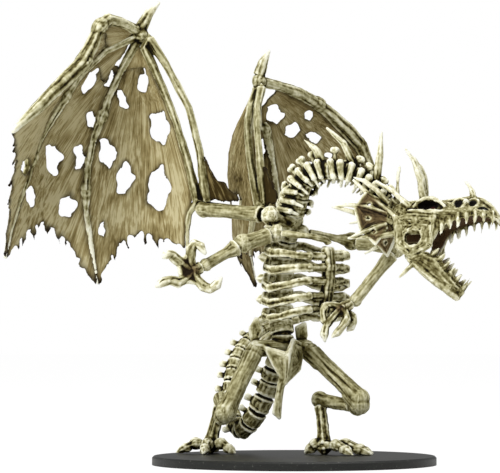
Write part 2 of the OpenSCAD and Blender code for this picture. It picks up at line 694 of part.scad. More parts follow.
// Inner side of the sheet: down the rear forearm bone and the spur, inside their surface
fore_half = wing_fore_r * [0.5];
right_inner = [right_wing_wrist, [-66, 27, 179], [-59, 27, 165], [-52, 26, 145], [-46, 26, 122], [-50, 28, 105],
    [-50, 28, 96]];
left_inner = [left_wing_wrist, [-20, 80, 169], [-22, 77, 163], [-22, 69, 145], [-18, 60, 121], [-21, 62, 102],
    [-21, 62, 93]];
module right_skin_outer() {
    skinny() torn([[-112, 152, 4, 7, -20], [-124, 133, 4, 8, -10]])
        sheet(right_lead, lead_half, right_second, long_half, 0.14, 0.4 * skin_belly);
}
module right_skin_middle() {
    skinny() torn([[-86.5, 175, 4, 10, -15], [-96, 174, 4.5, 15, -30], [-95, 156, 5, 8, 0],
            [-113, 138, 8, 19, 0], [-101, 138, 6, 14, 0], [-106, 116, 8, 11, 0], [-123, 120, 5, 10, 0]])
        sheet(right_second, long_half, right_third, long_half, 0.16, skin_belly);
}
module right_skin_inner() {
    skinny() difference() {
        torn([[-71, 175, 4.5, 13, 0], [-81, 166, 5, 10, 30], [-63, 153, 10, 14, 0], [-88, 141, 9, 20, 0],
                [-80, 129, 8, 20, 0], [-64, 124, 12, 20, 0], [-90, 105, 4, 9, 0]])
            sheet(right_third, long_half, right_inner, fore_half, 0.14, skin_belly);
        rear_fore_bone(right_fore_back, right_spur, glue_gap);
    }
}
module left_skin_outer() {
    skinny() torn([[-10, 164, 8, 10, 0], [-1, 157, 9, 8, 0], [7, 164, 5, 5, 0], [9, 154, 9, 5, 0],
            [17, 145, 4, 3, 0], [9, 140, 6, 6, 0]])
        sheet(left_lead, lead_half, left_second, long_half, 0.34, 0.4 * skin_belly);
}
module left_skin_middle() {
    skinny() torn([[-16, 146, 4, 18, 0], [-15, 122, 4, 10, 0]])
        sheet(left_second, long_half, left_third, long_half, 0.16, skin_belly, 2);
}
module left_skin_inner() {
    skinny() difference() {
        torn([[-28, 120, 5, 12, 0]])
            sheet(left_third, long_half, left_inner, fore_half, 0.14, skin_belly);
        rear_fore_bone(left_fore_back, left_spur, glue_gap);
    }
}

// Small sheet across the front of the wing's elbow
module fore_web(top, waist, foot, corner) {
    half = skin_t / 2;
    hull() for (p = [top, waist, corner]) bead(p, half);
    hull() for (p = [waist, foot, corner]) bead(p, half);
}
module right_fore_web() {
    skinny() difference() {
        fore_web([-42, 23, 138], [-36, 20, 128], [-26, 14, 118], [-40, 23, 119]);
        right_fore_bones(glue_gap);
        limb_shaft(right_wing_root, wing_knob_r, right_wing_elbow, wing_elbow_r, wing_arm_r, 1.2 * wing_arm_r,
            glue_gap, 12);
        elbow_room(right_wing_elbow);
    }
}
module left_fore_web() {
    skinny() difference() {
        fore_web([-16, 62, 138], [-11, 53, 129], [-6, 40, 117], [-13, 52, 118]);
        left_fore_bones(glue_gap);
        limb_shaft(left_wing_root, wing_knob_r, left_wing_elbow, wing_elbow_r, wing_arm_r, 1.2 * wing_arm_r,
            glue_gap, 12);
        elbow_room(left_wing_elbow);
    }
}

function neck_r(s) = mix(neck_low_r, neck_high_r, (s - neck_seam) / (skull_seam - neck_seam));
// Long spike on the back of the neck at a place on the axis, leaning back by a share of its length
module neck_spike(s, side, l, lean) {
    c = on_curve(axis, s);
    t = heading(axis, s);
    back = unit(cross(side, t));
    bone([c, c + back * (neck_r(s) + 0.35 * l) - t * 0.3 * lean * l,
        c + back * (neck_r(s) + l) - t * lean * l], [2.2, 1.5, 0.3], steps = 5, sides = 5, roll = side);
    // Boss round the root of the spike
    prong(c, c + back * (neck_r(s) + 2) - t * 0.4 * lean, 2.4, 1.6);
}
module neck_lower() {
    bony() {
        vertebrae(neck_seam, mid_neck_seam, 7, neck_low_r, neck_r(mid_neck_seam), trunk_r, 1.5, 4, 1.8, 1.6);
        neck_spike(23.1, trunk_r, 0.6 * neck_spike_l, 0.9);
    }
}
module neck_upper() {
    bony() {
        vertebrae(mid_neck_seam, skull_seam, 7, neck_r(mid_neck_seam), neck_high_r, head_r, 1.5, 2.2, 1.5, 1.2);
        neck_spike(25.2, head_r, 0.8 * neck_spike_l, 1.2);
        neck_spike(27.2, head_r, neck_spike_l, 0.9);
    }
}

module head_place() {
    translate(head_at) rotate([0, 0, -head_turn]) rotate([-head_tilt, 0, 0]) children();
}
// Skull sections: place, crown, brow width and height, cheek width and height, gum width
// and height, palate height
skull_rows = [[0, 2, 4.5, 0, 7, -5, 7, -11, -7], [5, 3, 6.5, 1.5, 9, -5, 8.5, -13, -8],
    [11, 3.4, 7.5, 2.2, 9.5, -4.5, 8.8, -14, -8], [18, 3.6, 7.6, 2.4, 9, -4, 8.4, -14, -8],
    [22, 3.4, 6.4, 1.8, 8.4, -4, 8, -12.4, -7.5], [26, 3.3, 5.2, 1.4, 7.8, -3.6, 7.6, -10, -6.5],
    [32, 4, 4.6, 2, 7, -3, 7, -7.4, -5], [38, 4.8, 4, 2.2, 6.2, -2, 6.2, -5.4, -3.6],
    [42, 3.6, 3.6, 0.8, 5.4, -2.2, 5.2, -5, -3.8], [46, 0.2, 2.8, -1.4, 4, -3.4, 3.8, -5.6, -4.6],
    [49.5, -4, 1.3, -4.5, 1.9, -5.2, 2, -6.6, -6]];
function skull_ring(q) = [[q[0], 0, q[1]], [q[0], q[2], q[3]], [q[0], q[4], q[5]], [q[0], q[6], q[7]],
    [q[0], q[6] - 1.6, q[8] - 1], [q[0], 0, q[8]], [q[0], 1.6 - q[6], q[8] - 1], [q[0], -q[6], q[7]],
    [q[0], -q[4], q[5]], [q[0], -q[2], q[3]]];
function skull_row(x) =
    let (i = max([for (k = [0 : len(skull_rows) - 2]) skull_rows[k][0] <= x ? k : 0]),
        a = skull_rows[i], b = skull_rows[i + 1])
    mix(a, b, (x - a[0]) / (b[0] - a[0]));
module tooth(p, l, lean) {
    translate(p) rotate([lean, 0, 0]) translate([0, 0, -l])
        cylinder(d1 = 0.3, d2 = tooth_d, h = l + 0.4 * tooth_d, $fn = 4);
}
// Cheek plate with the jaw corner, pierced behind the tooth row
module cheek(m, grow = 0) {
    corners = [[2.9, 8.2, -5.3, 1.2], [5.0, 8.2, -20.2, 1.1], [12.0, 8.9, -24.5, 1.1], [21.2, 9.0, -20, 1],
        [20.8, 8.6, -10.7, 1]];
    hull() for (q = corners) bead([q[0], m * q[1], q[2]], q[3] + grow);
}
module horn(p, w, steps) {
    bone(p, w, steps = steps, sides = 5, roll = [1, 0, 0]);
}
upper_teeth = 8;
first_tooth = 21.2;
tooth_pitch = 3.7;
module skull() {
    bony() {
        chain(axis, [neck_high_r, 0.9 * neck_high_r], steps = 4, sides = 6, roll = head_r, s0 = skull_seam,
            s1 = 29);
        head_place() difference() {
            union() {
                loft([for (q = skull_rows) skull_ring(q)]);
                for (m = [-1, 1]) {
                    cheek(m);
                    // Cheekbone under the eye and brow over it
                    bone([[8.7, m * 9.3, -3.2], [15, m * 9.6, -3.4], [21, m * 9.1, -4.0], [25.8, m * 7.3, -2.8]],
                        [0.8, 1.1, 1, 0.7], steps = 3, sides = 4);
                    bone([[11.7, m * 8.8, -1.7], [15, m * 8.7, 2.0], [19, m * 8.5, 2.6], [23, m * 7.7, 1.6],
                        [25.7, m * 6.8, -0.8]], [0.8, 1.1, 1, 0.8], steps = 4, sides = 4);
                    // Boss between the two snout holes
                    prong([34.4, m * 3.6, 0.7], [34.9, m * 5.5, 2.0], 1.7, 1.1);
                    for (i = [0 : upper_teeth - 1]) {
                        x = first_tooth + tooth_pitch * i;
                        q = skull_row(x);
                        tooth([x, m * (q[6] - 0.3), q[7] + 0.5],
                            tooth_l * (i == upper_teeth - 3 ? 1.2 : 0.85 + 0.15 * (i % 2)), m * 8);
                    }
                }
                // Crest horn, rear spike and nose horn
                horn([[14, 0, 1], [13, 0, 0.55 * crest_l], [10, 0, 3 + 0.74 * crest_l], [4, 0, 4 + crest_l]],
                    [2.2, 1.9, 1.4, 0.3], 5);
                horn([[1, 0, 0], [0, 0, 12], [0.5, 0, 21]], [1.8, 1.3, 0.4], 3);
                horn([[37, 0, 3], [35.8, 0, 8.5], [32, 0, 13.5]], [1.9, 1.3, 0.3], 4);
            }
            for (m = [-1, 1]) {
                translate([18.4, m * 9.1, -0.8]) scale([1.6, 1.3, 0.72]) sphere(3.3, $fn = 7);
                translate([31.5, m * 6.2, 0.8]) sphere(2.2, $fn = 6);
                translate([37.8, m * 5.1, 1.1]) scale([1.1, 1, 0.9]) sphere(1.9, $fn = 6);
                translate([42.7, m * 5.2, -1.3]) scale([1.6, 1, 0.65]) sphere(1.7, $fn = 6);
                translate([12.6, m * 8.9, -16.1]) rotate([90, 0, 0]) cylinder(r = 4, h = 8, center = true, $fn = 7);
            }
        }
    }
}

// Lower jaw: one deep bar bent round the chin, with its teeth, swung open about the jaw corner.
// Its line, crown and keel are measured along and square to the jaw.
jaw_pivot = [4, 0, -16];
jaw_line = [[12.5, 8.5], [15, 8.4], [18, 8.2], [22, 7.6], [26, 6.6], [31, 5], [36, 2.8], [38.5, 0]];
jaw_crown = [0.5, 3.5, 7, 6.6, 5.7, 4.6, 3.6, 3.4];
jaw_keel = [-4.3, -4.2, -4, -3.7, -3.4, -3.1, -2.8, -2.6];
lower_teeth = 6;
module lower_jaw() {
    there = [for (i = [0 : len(jaw_line) - 1]) i];
    back = [for (i = [len(jaw_line) - 2 : -1 : 0]) i];
    order = concat(there, back);
    bony() head_place() difference() {
        translate(jaw_pivot) rotate([0, jaw_open, 0]) {
            bone([for (k = [0 : len(order) - 1]) let (i = order[k], m = k < len(jaw_line) ? -1 : 1)
                    [jaw_line[i].x, m * jaw_line[i].y, (jaw_crown[i] + jaw_keel[i]) / 2]],
                [1.5, 1.6, 1.5], [for (i = order) (jaw_crown[i] - jaw_keel[i]) / 2], steps = 10, sides = 6);
            prong([15, -8.4, -3], [14.5, -9, -12], 1.3, 0.5);
            for (m = [-1, 1], i = [0 : lower_teeth - 1]) {
                x = 19 + tooth_pitch * i;
                k = lookup(x, [for (j = there) [jaw_line[j].x, j]]);
                mirror([0, 0, 1])
                    tooth([x, m * on_curve(jaw_line, k).y, -on_curve(jaw_crown, k) + 0.5],
                        tooth_l * (i == lower_teeth - 1 ? 1.3 : 0.65 + 0.15 * (i % 2)), m * 8);
            }
        }
        for (m = [-1, 1]) cheek(m, glue_gap);
    }
}

// Frill: three spines from a root bar behind the cheek, with a torn sheet between them
module frill(m) {
    x = -glue_gap - 1;
    root = [[x, m * 7, 1], [x, m * 7.5, -4], [x, m * 7.5, -9]];
    tips = [[-17, m * 12, 12], [-26, m * 13, -2], [-17, m * 12, -17]];
    // Rise of each spine at its middle
    arch = [2.5, 2, 0];
    hem = [[-11, m * 11, 5], [-15, m * 12, -3], [-12, m * 11, -12], [-5, m * 9, -19]];
    half = frill_t / 2;
    head_place() difference() {
        union() {
            chain([[x, m * 6.5, 3], [x, m * 7.5, -4], [x, m * 7, -11]], [1], steps = 3, sides = 4);
            for (i = [0 : 2])
                chain([root[i], mix(root[i], tips[i], 0.5) + [0, m * 1.5, arch[i]], tips[i]], [1.3, 1.1, 0.3],
                    steps = 3, sides = 5);
            for (i = [0 : 1]) {
                hull() for (p = [root[i], root[i + 1], hem[i + 1]]) bead(p, half);
                hull() for (p = [root[i], hem[i], hem[i + 1]]) bead(p, half);
            }
            hull() for (p = [root[2], hem[2], hem[3], [x, m * 7, -11]]) bead(p, half);
        }
        for (h = [[-9, -0.5], [-9, -7], [-6, -13]])
            translate([h[0], 0, h[1]]) rotate([90, 0, 0]) cylinder(r = 1.2, h = 60, center = true, $fn = 4);
    }
}
module right_frill() {
    bony() frill(-1);
}
module left_frill() {
    bony() frill(1);
}

base();
right_foot();
left_foot();
right_shin();
left_shin();
right_thigh();
left_thigh();
pelvis();
tail_root();
tail_loop();
tail_tip();
back_spine();
right_ribs();
left_ribs();
shoulder_girdle();
right_collarbone();
left_collarbone();
right_upper_arm();
left_upper_arm();
right_forearm();
left_forearm();
right_hand();
left_hand();
right_wing_arm();
left_wing_arm();
right_wing_forearm();
left_wing_forearm();
right_wing_fingers();
left_wing_fingers();
right_skin_outer();
right_skin_middle();
right_skin_inner();
left_skin_outer();
left_skin_middle();
left_skin_inner();
right_fore_web();
left_fore_web();
neck_lower();
neck_upper();
skull();
lower_jaw();
right_frill();
left_frill();
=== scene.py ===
import bmesh
import bpy
import numpy as np
from mathutils import Matrix, Vector, kdtree


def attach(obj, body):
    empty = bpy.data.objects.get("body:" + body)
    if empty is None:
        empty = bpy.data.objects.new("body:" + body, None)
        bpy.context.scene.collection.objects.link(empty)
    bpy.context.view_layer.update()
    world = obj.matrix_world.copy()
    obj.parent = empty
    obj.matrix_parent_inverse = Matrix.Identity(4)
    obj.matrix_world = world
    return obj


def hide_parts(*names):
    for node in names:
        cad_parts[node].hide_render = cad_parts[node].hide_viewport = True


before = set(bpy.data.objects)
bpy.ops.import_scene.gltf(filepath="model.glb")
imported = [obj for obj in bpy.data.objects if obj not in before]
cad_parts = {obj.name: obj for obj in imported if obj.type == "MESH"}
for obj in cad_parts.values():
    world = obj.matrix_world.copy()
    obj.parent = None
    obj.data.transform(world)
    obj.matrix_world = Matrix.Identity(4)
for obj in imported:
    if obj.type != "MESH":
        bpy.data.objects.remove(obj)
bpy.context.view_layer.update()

# Camera.
# Long lens a little above the base, square to its front, as the figure was photographed. From 1.3 m away
# the far wing is nearly as large as the near one.
LENS_PLACE = (0, -1.330, 0.0615)
AIM = (-0.0202, 0, 0.1043)
camera = bpy.data.objects.new("camera", bpy.data.cameras.new("camera"))
bpy.context.collection.objects.link(camera)
camera.location = LENS_PLACE
camera.rotation_euler = (Vector(AIM) - camera.location).to_track_quat("-Z", "Y").to_euler()
camera.data.sensor_width = 36
camera.data.lens = 209
bpy.context.scene.camera = camera


# Base.
# Round disc of moulded plastic under matt black paint, with a little dust on it.
# The feet are pegged and glued into it. Its CAD solid is shown as it is.
def linear(code):
    """sRGB hex colour as a linear colour."""
    parts = [int(code[i:i + 2], 16) / 255 for i in (1, 3, 5)]
    return [c / 12.92 if c <= 0.04045 else ((c + 0.055) / 1.055) ** 2.4 for c in parts] + [1]


def put(tree, kind, links=(), stops=(), **settings):
    """Adds a node with its settings, its input values or links, and a ramp's stops."""
    node = tree.nodes.new(kind)
    for name, value in settings.items():
        setattr(node, name, value)
    for socket, value in dict(links).items():
        if isinstance(value, bpy.types.NodeSocket):
            tree.links.new(value, node.inputs[socket])
        else:
            node.inputs[socket].default_value = value
    for i, (place, code) in enumerate(stops):
        stop = node.color_ramp.elements[i] if i < 2 else node.color_ramp.elements.new(place)
        stop.position = place
        stop.color = linear(code)
    return node


def new_material(name):
    """Empty material, and the tree that its nodes go into."""
    material = bpy.data.materials.new(name)
    material.use_nodes = True
    material.node_tree.nodes.clear()
    return material, material.node_tree


# Matt black acrylic, sprayed on: a soft speckle with a few grey flecks of dust, and a dull sheen at a low
# angle. The speckle is drawn coarser than the grain of real paint, so that it shows.
MM = 0.001
SPECKLE = 0.6 * MM
FLECK = 1.1 * MM
CLOUD = 14 * MM
# Places of the two colours and of the result among the sockets of a Mix node.
UNDER, OVER, MIXED = 6, 7, 2
black_paint, tree = new_material("matt_black_paint")
place = put(tree, "ShaderNodeTexCoord").outputs["Object"]
speckle = put(tree, "ShaderNodeTexNoise", {
    "Vector": place, "Scale": 1 / SPECKLE, "Detail": 3.0}).outputs["Fac"]
cloud = put(tree, "ShaderNodeTexNoise", {"Vector": place, "Scale": 1 / CLOUD, "Detail": 4.0}).outputs["Fac"]
both = put(tree, "ShaderNodeMath", {0: speckle, 1: cloud}, operation="MULTIPLY").outputs[0]
black = put(tree, "ShaderNodeValToRGB", {"Fac": both}, [(0.12, "#0b0c09"), (0.4, "#1c1e1a")]).outputs[0]
grit = put(tree, "ShaderNodeBump", {"Height": speckle, "Strength": 0.35, "Distance": 0.12 * MM}).outputs[0]
fleck = put(tree, "ShaderNodeTexNoise", {"Vector": place, "Scale": 1 / FLECK, "Detail": 2.0}).outputs["Fac"]
dust = put(tree, "ShaderNodeMapRange", {
    "Value": fleck, "From Min": 0.66, "From Max": 0.74, "To Max": 0.5}).outputs[0]
dusty = put(tree, "ShaderNodeMix", {
    "Factor": dust, UNDER: black, OVER: linear("#7c7d76")}, data_type="RGBA").outputs[MIXED]
surface = put(tree, "ShaderNodeBsdfPrincipled", {
    "Base Color": dusty, "Roughness": 0.45, "Specular IOR Level": 0.4, "Normal": grit}).outputs[0]
put(tree, "ShaderNodeOutputMaterial", {"Surface": surface})
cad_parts["base"].data.materials.clear()
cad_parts["base"].data.materials.append(black_paint)


# Feet.
# One resin casting each: ankle bone, toes and claws, with a peg glued into the base. Painted as bone:
# dark brown wash left in the hollows, khaki on the shafts, ivory brushed over whatever stands proud.
def add_form(solid, balls):
    """Adds a closed form: the hull round balls given as (x, y, z, radius) in mm."""
    form = bmesh.new()
    for x, y, z, radius in balls:
        there = Matrix.Translation(Vector((x, y, z)) * MM)
        bmesh.ops.create_icosphere(form, subdivisions=2, radius=radius * MM, matrix=there)
    bmesh.ops.delete(form, geom=form.edges[:] + form.faces[:], context="EDGES_FACES")
    hull = bmesh.ops.convex_hull(form, input=form.verts)
    bmesh.ops.delete(form, geom=hull["geom_interior"], context="VERTS")
    mesh = bpy.data.meshes.new("form")
    form.to_mesh(mesh)
    form.free()
    solid.from_mesh(mesh)
    bpy.data.meshes.remove(mesh)


def points_of(mesh):
    """Points in mm, and pairs of neighbouring points, across the four-sided facets too."""
    points = np.empty(3 * len(mesh.vertices))
    mesh.vertices.foreach_get("co", points)
    pairs = np.empty(2 * len(mesh.edges), dtype=np.int64)
    mesh.edges.foreach_get("vertices", pairs)
    corners = np.empty(len(mesh.loops), dtype=np.int64)
    mesh.loops.foreach_get("vertex_index", corners)
    corners = corners.reshape(-1, 4)
    pairs = np.concatenate([pairs.reshape(-1, 2), corners[:, [0, 2]], corners[:, [1, 3]]])
    return points.reshape(-1, 3) / MM, pairs


def drop_chips(mesh):
    """Deletes every loose chip that the even facets left beside the casting."""
    points, pairs = points_of(mesh)
    part = np.arange(len(points))
    while True:
        least = part[pairs].min(axis=1)
        joined = part.copy()
        for end in pairs.T:
            np.minimum.at(joined, part[end], least)
        joined = joined[joined]
        if (joined == part).all():
            break
        part = joined
    loose = part != np.bincount(part).argmax()
    casting = bmesh.new()
    casting.from_mesh(mesh)
    chips = [vertex for vertex, chip in zip(casting.verts, loose) if chip]
    bmesh.ops.delete(casting, geom=chips, context="VERTS")
    casting.to_mesh(mesh)
    casting.free()


# Points of the solids' loose triangles that lie this close, in metres, are one.
MERGE = 1e-6


def copy_solid(node, facet, forms=(), own=False):
    """Copy of a CAD solid with forms fused on, cut into even facets of that size in mm.

    With own, the forms stand in the solid's place."""
    piece = bpy.data.objects.new(node + "_casting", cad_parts[node].data.copy())
    bpy.context.collection.objects.link(piece)
    solid = bmesh.new()
    solid.from_mesh(piece.data)
    bmesh.ops.remove_doubles(solid, verts=solid.verts, dist=MERGE)
    if own:
        solid.clear()
    for balls in forms:
        add_form(solid, balls)
    solid.to_mesh(piece.data)
    solid.free()
    even = piece.modifiers.new("even_facets", "REMESH")
    even.mode = "VOXEL"
    even.voxel_size = facet * MM
    evaluated = piece.evaluated_get(bpy.context.evaluated_depsgraph_get())
    piece.data = bpy.data.meshes.new_from_object(evaluated)
    piece.data.name = piece.name
    piece.modifiers.clear()
    drop_chips(piece.data)
    piece.data.materials.clear()
    piece.data.shade_smooth()
    return piece


def move_points(mesh, points):
    """Puts the points back, and gives the new normals."""
    mesh.vertices.foreach_set("co", (points * MM).ravel())
    mesh.update()
    normals = np.empty(3 * len(mesh.vertices))
    mesh.vertex_normals.foreach_get("vector", normals)
    return normals.reshape(-1, 3)


# Keeps a point that has no neighbour from a division by zero.
TINY = 1e-9


def mean(values, pairs, times=1):
    """Values averaged over each point's neighbours, again and again."""
    one, other = pairs.T
    count = len(values)
    neighbours = np.bincount(one, minlength=count) + np.bincount(other, minlength=count) + TINY
    flat = values.reshape(count, -1)
    for _ in range(times):
        sums = [np.bincount(one, column[other], count) + np.bincount(other, column[one], count)
                for column in flat.T]
        flat = np.stack(sums, axis=1) / neighbours[:, None]
    return flat.reshape(values.shape)


# Share of the way to the neighbours' middle: a step in, and a slightly longer step out again.
STEP_IN = 0.5
STEP_OUT = 0.52


def rounded(points, pairs, times):
    """Facet edges rounded off without the whole shrinking."""
    for _ in range(times):
        points = points + STEP_IN * (mean(points, pairs) - points)
        points = points - STEP_OUT * (mean(points, pairs) - points)
    return points


def hollow(points, normals, pairs, times):
    """How far the neighbourhood stands above each point, in mm from the usual."""
    rise = np.einsum("ni,ni->n", mean(points, pairs, times) - points, normals)
    return rise - np.median(rise)


# Random values on a cubic lattice, for noise that repeats only after 64 cells, and where the noise starts.
random = np.random.default_rng(7)
LATTICE = random.uniform(-1.2, 1.2, (64, 64, 64))
LATTICE_START = 11.3


def sample(grid, cells):
    """Values of a grid between its cells, repeated endlessly."""
    low = np.floor(cells).astype(int)
    part = cells - low
    total = 0
    for corner in np.ndindex(2, 2, 2):
        share = np.prod(np.where(corner, part, 1 - part), axis=1)
        total = total + share * grid[tuple(((low + corner) % grid.shape).T)]
    return total


def noise_at(points, size):
    """Smooth noise, about -1 to 1, with lumps of that size in mm."""
    return sample(LATTICE, points / size + LATTICE_START)


def facing(normals, pairs, times):
    """How far the normals round each point follow three square ways, least first, and those ways."""
    return np.linalg.eigh(mean(np.einsum("ni,nj->nij", normals, normals), pairs, times))


# Steps out to the neighbours over which a bone shows its run.
RUN_STEPS = 25


def run_of(normals, pairs):
    """The way the bone runs at each point, square to the normals there, and how sheet-like it is."""
    shares, ways = facing(normals, pairs, RUN_STEPS)
    return ways[:, :, 0], shares[:, 2] - shares[:, 1]


# Samples along a streak, for about one in each width, and the strongest streak against the usual one.
SAMPLING = 2.2
STRONGEST = 2.5


def grain_along(points, ways, width, reach):
    """Streaks of that width and half length in mm along the given ways."""
    steps = np.linspace(-reach, reach, int(SAMPLING * reach / width) + 1)
    streaks = sum(noise_at(points + step * ways, width) for step in steps)
    return np.clip(streaks / streaks.std(), -STRONGEST, STRONGEST)


def paint(mesh, name, values):
    """Keeps one number a point for the material."""
    mesh.attributes.new(name, "FLOAT", "POINT").data.foreach_set("value", values)


# Amount of surface in each cell of a grid over the whole figure, for the darkening in tight places, where
# other surfaces stand close: painted shade, and wash that gathers there.
# The cells' size and the grid's low corner are in mm. The surface is counted by spots scattered on it.
CELL = 1.6
CELLS = (180, 140, 150)
LOW = np.array([-150.0, -60.0, -10.0])
SPOTS_A_MM2 = 3
crowd = np.zeros(CELLS)
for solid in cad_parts.values():
    solid.data.calc_loop_triangles()
    corner = np.array([[solid.data.vertices[i].co for i in triangle.vertices]
                       for triangle in solid.data.loop_triangles]) / MM
    square = np.cross(corner[:, 1] - corner[:, 0], corner[:, 2] - corner[:, 0])
    area = np.linalg.norm(square, axis=1) / 2
    which = np.repeat(np.arange(len(area)), random.poisson(SPOTS_A_MM2 * area))
    low_cut, high_cut = np.sort(random.random((2, len(which))), axis=0)[:, :, None]
    spots = corner[which, 0] * low_cut + corner[which, 1] * (high_cut - low_cut)
    spots = spots + corner[which, 2] * (1 - high_cut)
    np.add.at(crowd, tuple(((spots - LOW) / CELL).astype(int).T), 1 / SPOTS_A_MM2)
# Blurred twice along each direction.
for axis in (0, 1, 2, 0, 1, 2):
    crowd = (np.roll(crowd, 1, axis) + crowd + np.roll(crowd, -1, axis)) / 3


# Distances in mm at which the surface in front of a point is felt. A cell's value stands half a cell in.
FEELERS = (1.2, 2.6, 4.5)
HALF_CELL = 0.5


def tightness(points, normals):
    """How much surface stands in front of each point."""
    return sum(sample(crowd, (points + reach * normals - LOW) / CELL - HALF_CELL) for reach in FEELERS)


# Acrylic on resin, washed and dry-brushed, dead matt: the ramp goes from the wash in the hollows, with painted
# shade low down and in tight places, to the last ivory on what stands proud, in blotches of about 6 mm. Thin
# skin, gums and sockets have their own browns.
# The pores are drawn coarser than the grain of real paint, so that they show.
BLOTCH = 6 * MM
PORE = 0.5 * MM
bone_paint, tree = new_material("dry_brushed_bone_paint")
place = put(tree, "ShaderNodeTexCoord").outputs["Object"]
proud_and_shade = put(tree, "ShaderNodeAttribute", attribute_name="proud_and_shade").outputs["Fac"]
blotch = put(tree, "ShaderNodeTexNoise", {
    "Vector": place, "Scale": 1 / BLOTCH, "Detail": 4.0}).outputs["Fac"]
shift = put(tree, "ShaderNodeMath", {0: blotch, 1: 0.2, 2: -0.1}, operation="MULTIPLY_ADD").outputs[0]
height = put(tree, "ShaderNodeMath", {0: proud_and_shade, 1: shift}, operation="ADD").outputs[0]
bone_colour = put(tree, "ShaderNodeValToRGB", {"Fac": height}, [
    (0.0, "#0c0800"), (0.16, "#2f270b"), (0.32, "#625a32"), (0.48, "#979168"), (0.62, "#bfba92"),
    (0.8, "#e3dfc0"), (1.0, "#fbfae6")]).outputs[0]
web = put(tree, "ShaderNodeAttribute", attribute_name="sheet").outputs["Fac"]
skinned = put(tree, "ShaderNodeMapRange", {"Value": web, "From Min": 0.5, "From Max": 0.75}).outputs[0]
web_colour = put(tree, "ShaderNodeValToRGB", {"Fac": height}, [
    (0.1, "#20160a"), (0.45, "#6b5a3a"), (0.8, "#a3946c")]).outputs[0]
coloured = put(tree, "ShaderNodeMix", {
    "Factor": skinned, UNDER: bone_colour, OVER: web_colour}, data_type="RGBA").outputs[MIXED]
for name, code in (("gum", "#4a3621"), ("pit", "#0b0704"), ("eye", "#3d0f09")):
    there = put(tree, "ShaderNodeAttribute", attribute_name=name).outputs["Fac"]
    coloured = put(tree, "ShaderNodeMix", {
        "Factor": there, UNDER: coloured, OVER: linear(code)}, data_type="RGBA").outputs[MIXED]
pores = put(tree, "ShaderNodeTexNoise", {"Vector": place, "Scale": 1 / PORE, "Detail": 3.0}).outputs["Fac"]
pitted = put(tree, "ShaderNodeBump", {"Height": pores, "Strength": 0.3, "Distance": 0.08 * MM}).outputs[0]
surface = put(tree, "ShaderNodeBsdfPrincipled", {
    "Base Color": coloured, "Roughness": 0.75, "Specular IOR Level": 0.1, "Normal": pitted}).outputs[0]
put(tree, "ShaderNodeOutputMaterial", {"Surface": surface})

# What stands this proud in mm of its neighbourhood, so many steps wide, stays crisp in the softening, which
# fades in over a few steps.
CRISP = 0.45
CRISP_STEPS = 6
CRISP_FADE = 2
# Lumps: size in mm and share of the depth.
LUMPS = ((5, 1), (2, 0.6), (0.9, 0.3))
# Streaks and cracks along the bone: width and half length in mm, then depth in mm, then what the paint gets.
STREAK = (0.6, 3)
STREAK_DEPTH = 0.04
STREAK_TONE = 0.045
CRACK = (0.9, 8)
CRACK_DEPTH = 0.15
CRACK_TONE = 0.09
# A crack opens where the streaks are this far below the usual, and is widest this much further down.
CRACK_OPENS = 1.3
CRACK_WIDEST = 1.2
# Hollows that hold the wash, narrow and broad: steps out to the neighbours, and share. Then the wash a mm.
HOLLOWS = ((5, 0.9), (22, 0.45))
WASH = 1.3
# Shade in tight places, and towards the table: from this height in mm, over this drop in mm.
TIGHT_SHADE = 0.1
LOW_SHADE = 0.08
SHADE_FROM = 75
SHADE_DROP = 60


def carve(node, facet=0.4, swell=0.0, rounding=8, soft=0, lumps=0.2, wash=1.0, tone=0.55, web=0,
          forms=(), own=False):
    """Bone casting from its CAD solid: rounded, lumpy, cracked lengthwise, with wash and dry brushing, and
    painted shade low down and in tight places.

    Facet, swell and lumps are in mm, rounding and soft count steps, wash and tone set the paint, and web is 1
    where skin is cast on. The forms are fused on or, with own, stand in the solid's place."""
    piece = copy_solid(node, facet, forms, own)
    points, pairs = points_of(piece.data)
    points = rounded(points, pairs, rounding)
    normals = move_points(piece.data, points)
    if soft:
        free = np.clip(1 + hollow(points, normals, pairs, CRISP_STEPS) / CRISP, 0, 1)
        free = mean(free, pairs, CRISP_FADE)[:, None]
        for _ in range(soft):
            points = points + STEP_IN * free * (mean(points, pairs) - points)
    points = points + swell * normals
    normals = move_points(piece.data, points)
    ways, sheet = run_of(normals, pairs)
    streaks = grain_along(points, ways, *STREAK)
    cracks = np.clip(-grain_along(points, ways, *CRACK) - CRACK_OPENS, 0, CRACK_WIDEST)
    bumps = lumps * sum(share * noise_at(points, size) for size, share in LUMPS)
    points = points + normals * (bumps + STREAK_DEPTH * streaks - CRACK_DEPTH * cracks)[:, None]
    normals = move_points(piece.data, points)
    tight = tightness(points, normals)
    dips = sum(share * hollow(points, normals, pairs, steps) for steps, share in HOLLOWS)
    # Painted shade: darker towards the table and where other surfaces stand close.
    shade = LOW_SHADE * np.clip((SHADE_FROM - points[:, 2]) / SHADE_DROP, 0, 1)
    shade = shade + TIGHT_SHADE * (tight - np.median(tight))
    proud_and_shade = tone - shade - WASH * wash * dips + STREAK_TONE * streaks - CRACK_TONE * cracks
    paint(piece.data, "proud_and_shade", proud_and_shade)
    paint(piece.data, "sheet", web * sheet)
    piece.data.materials.append(bone_paint)
    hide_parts(node)
    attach(piece, "root")
    return piece


# Each foot's ball and the ends of its toes, in mm. The toes fall towards their ends.
TOE_FALL = -3.6
feet = {"right_foot": ((-39, 24, 8), ((-55, 20), (-42, 7), (-27, 14), (-36, 33))),
        "left_foot": ((14, 13, 8), ((37, 11), (36, 1), (27, -4), (5, 17)))}
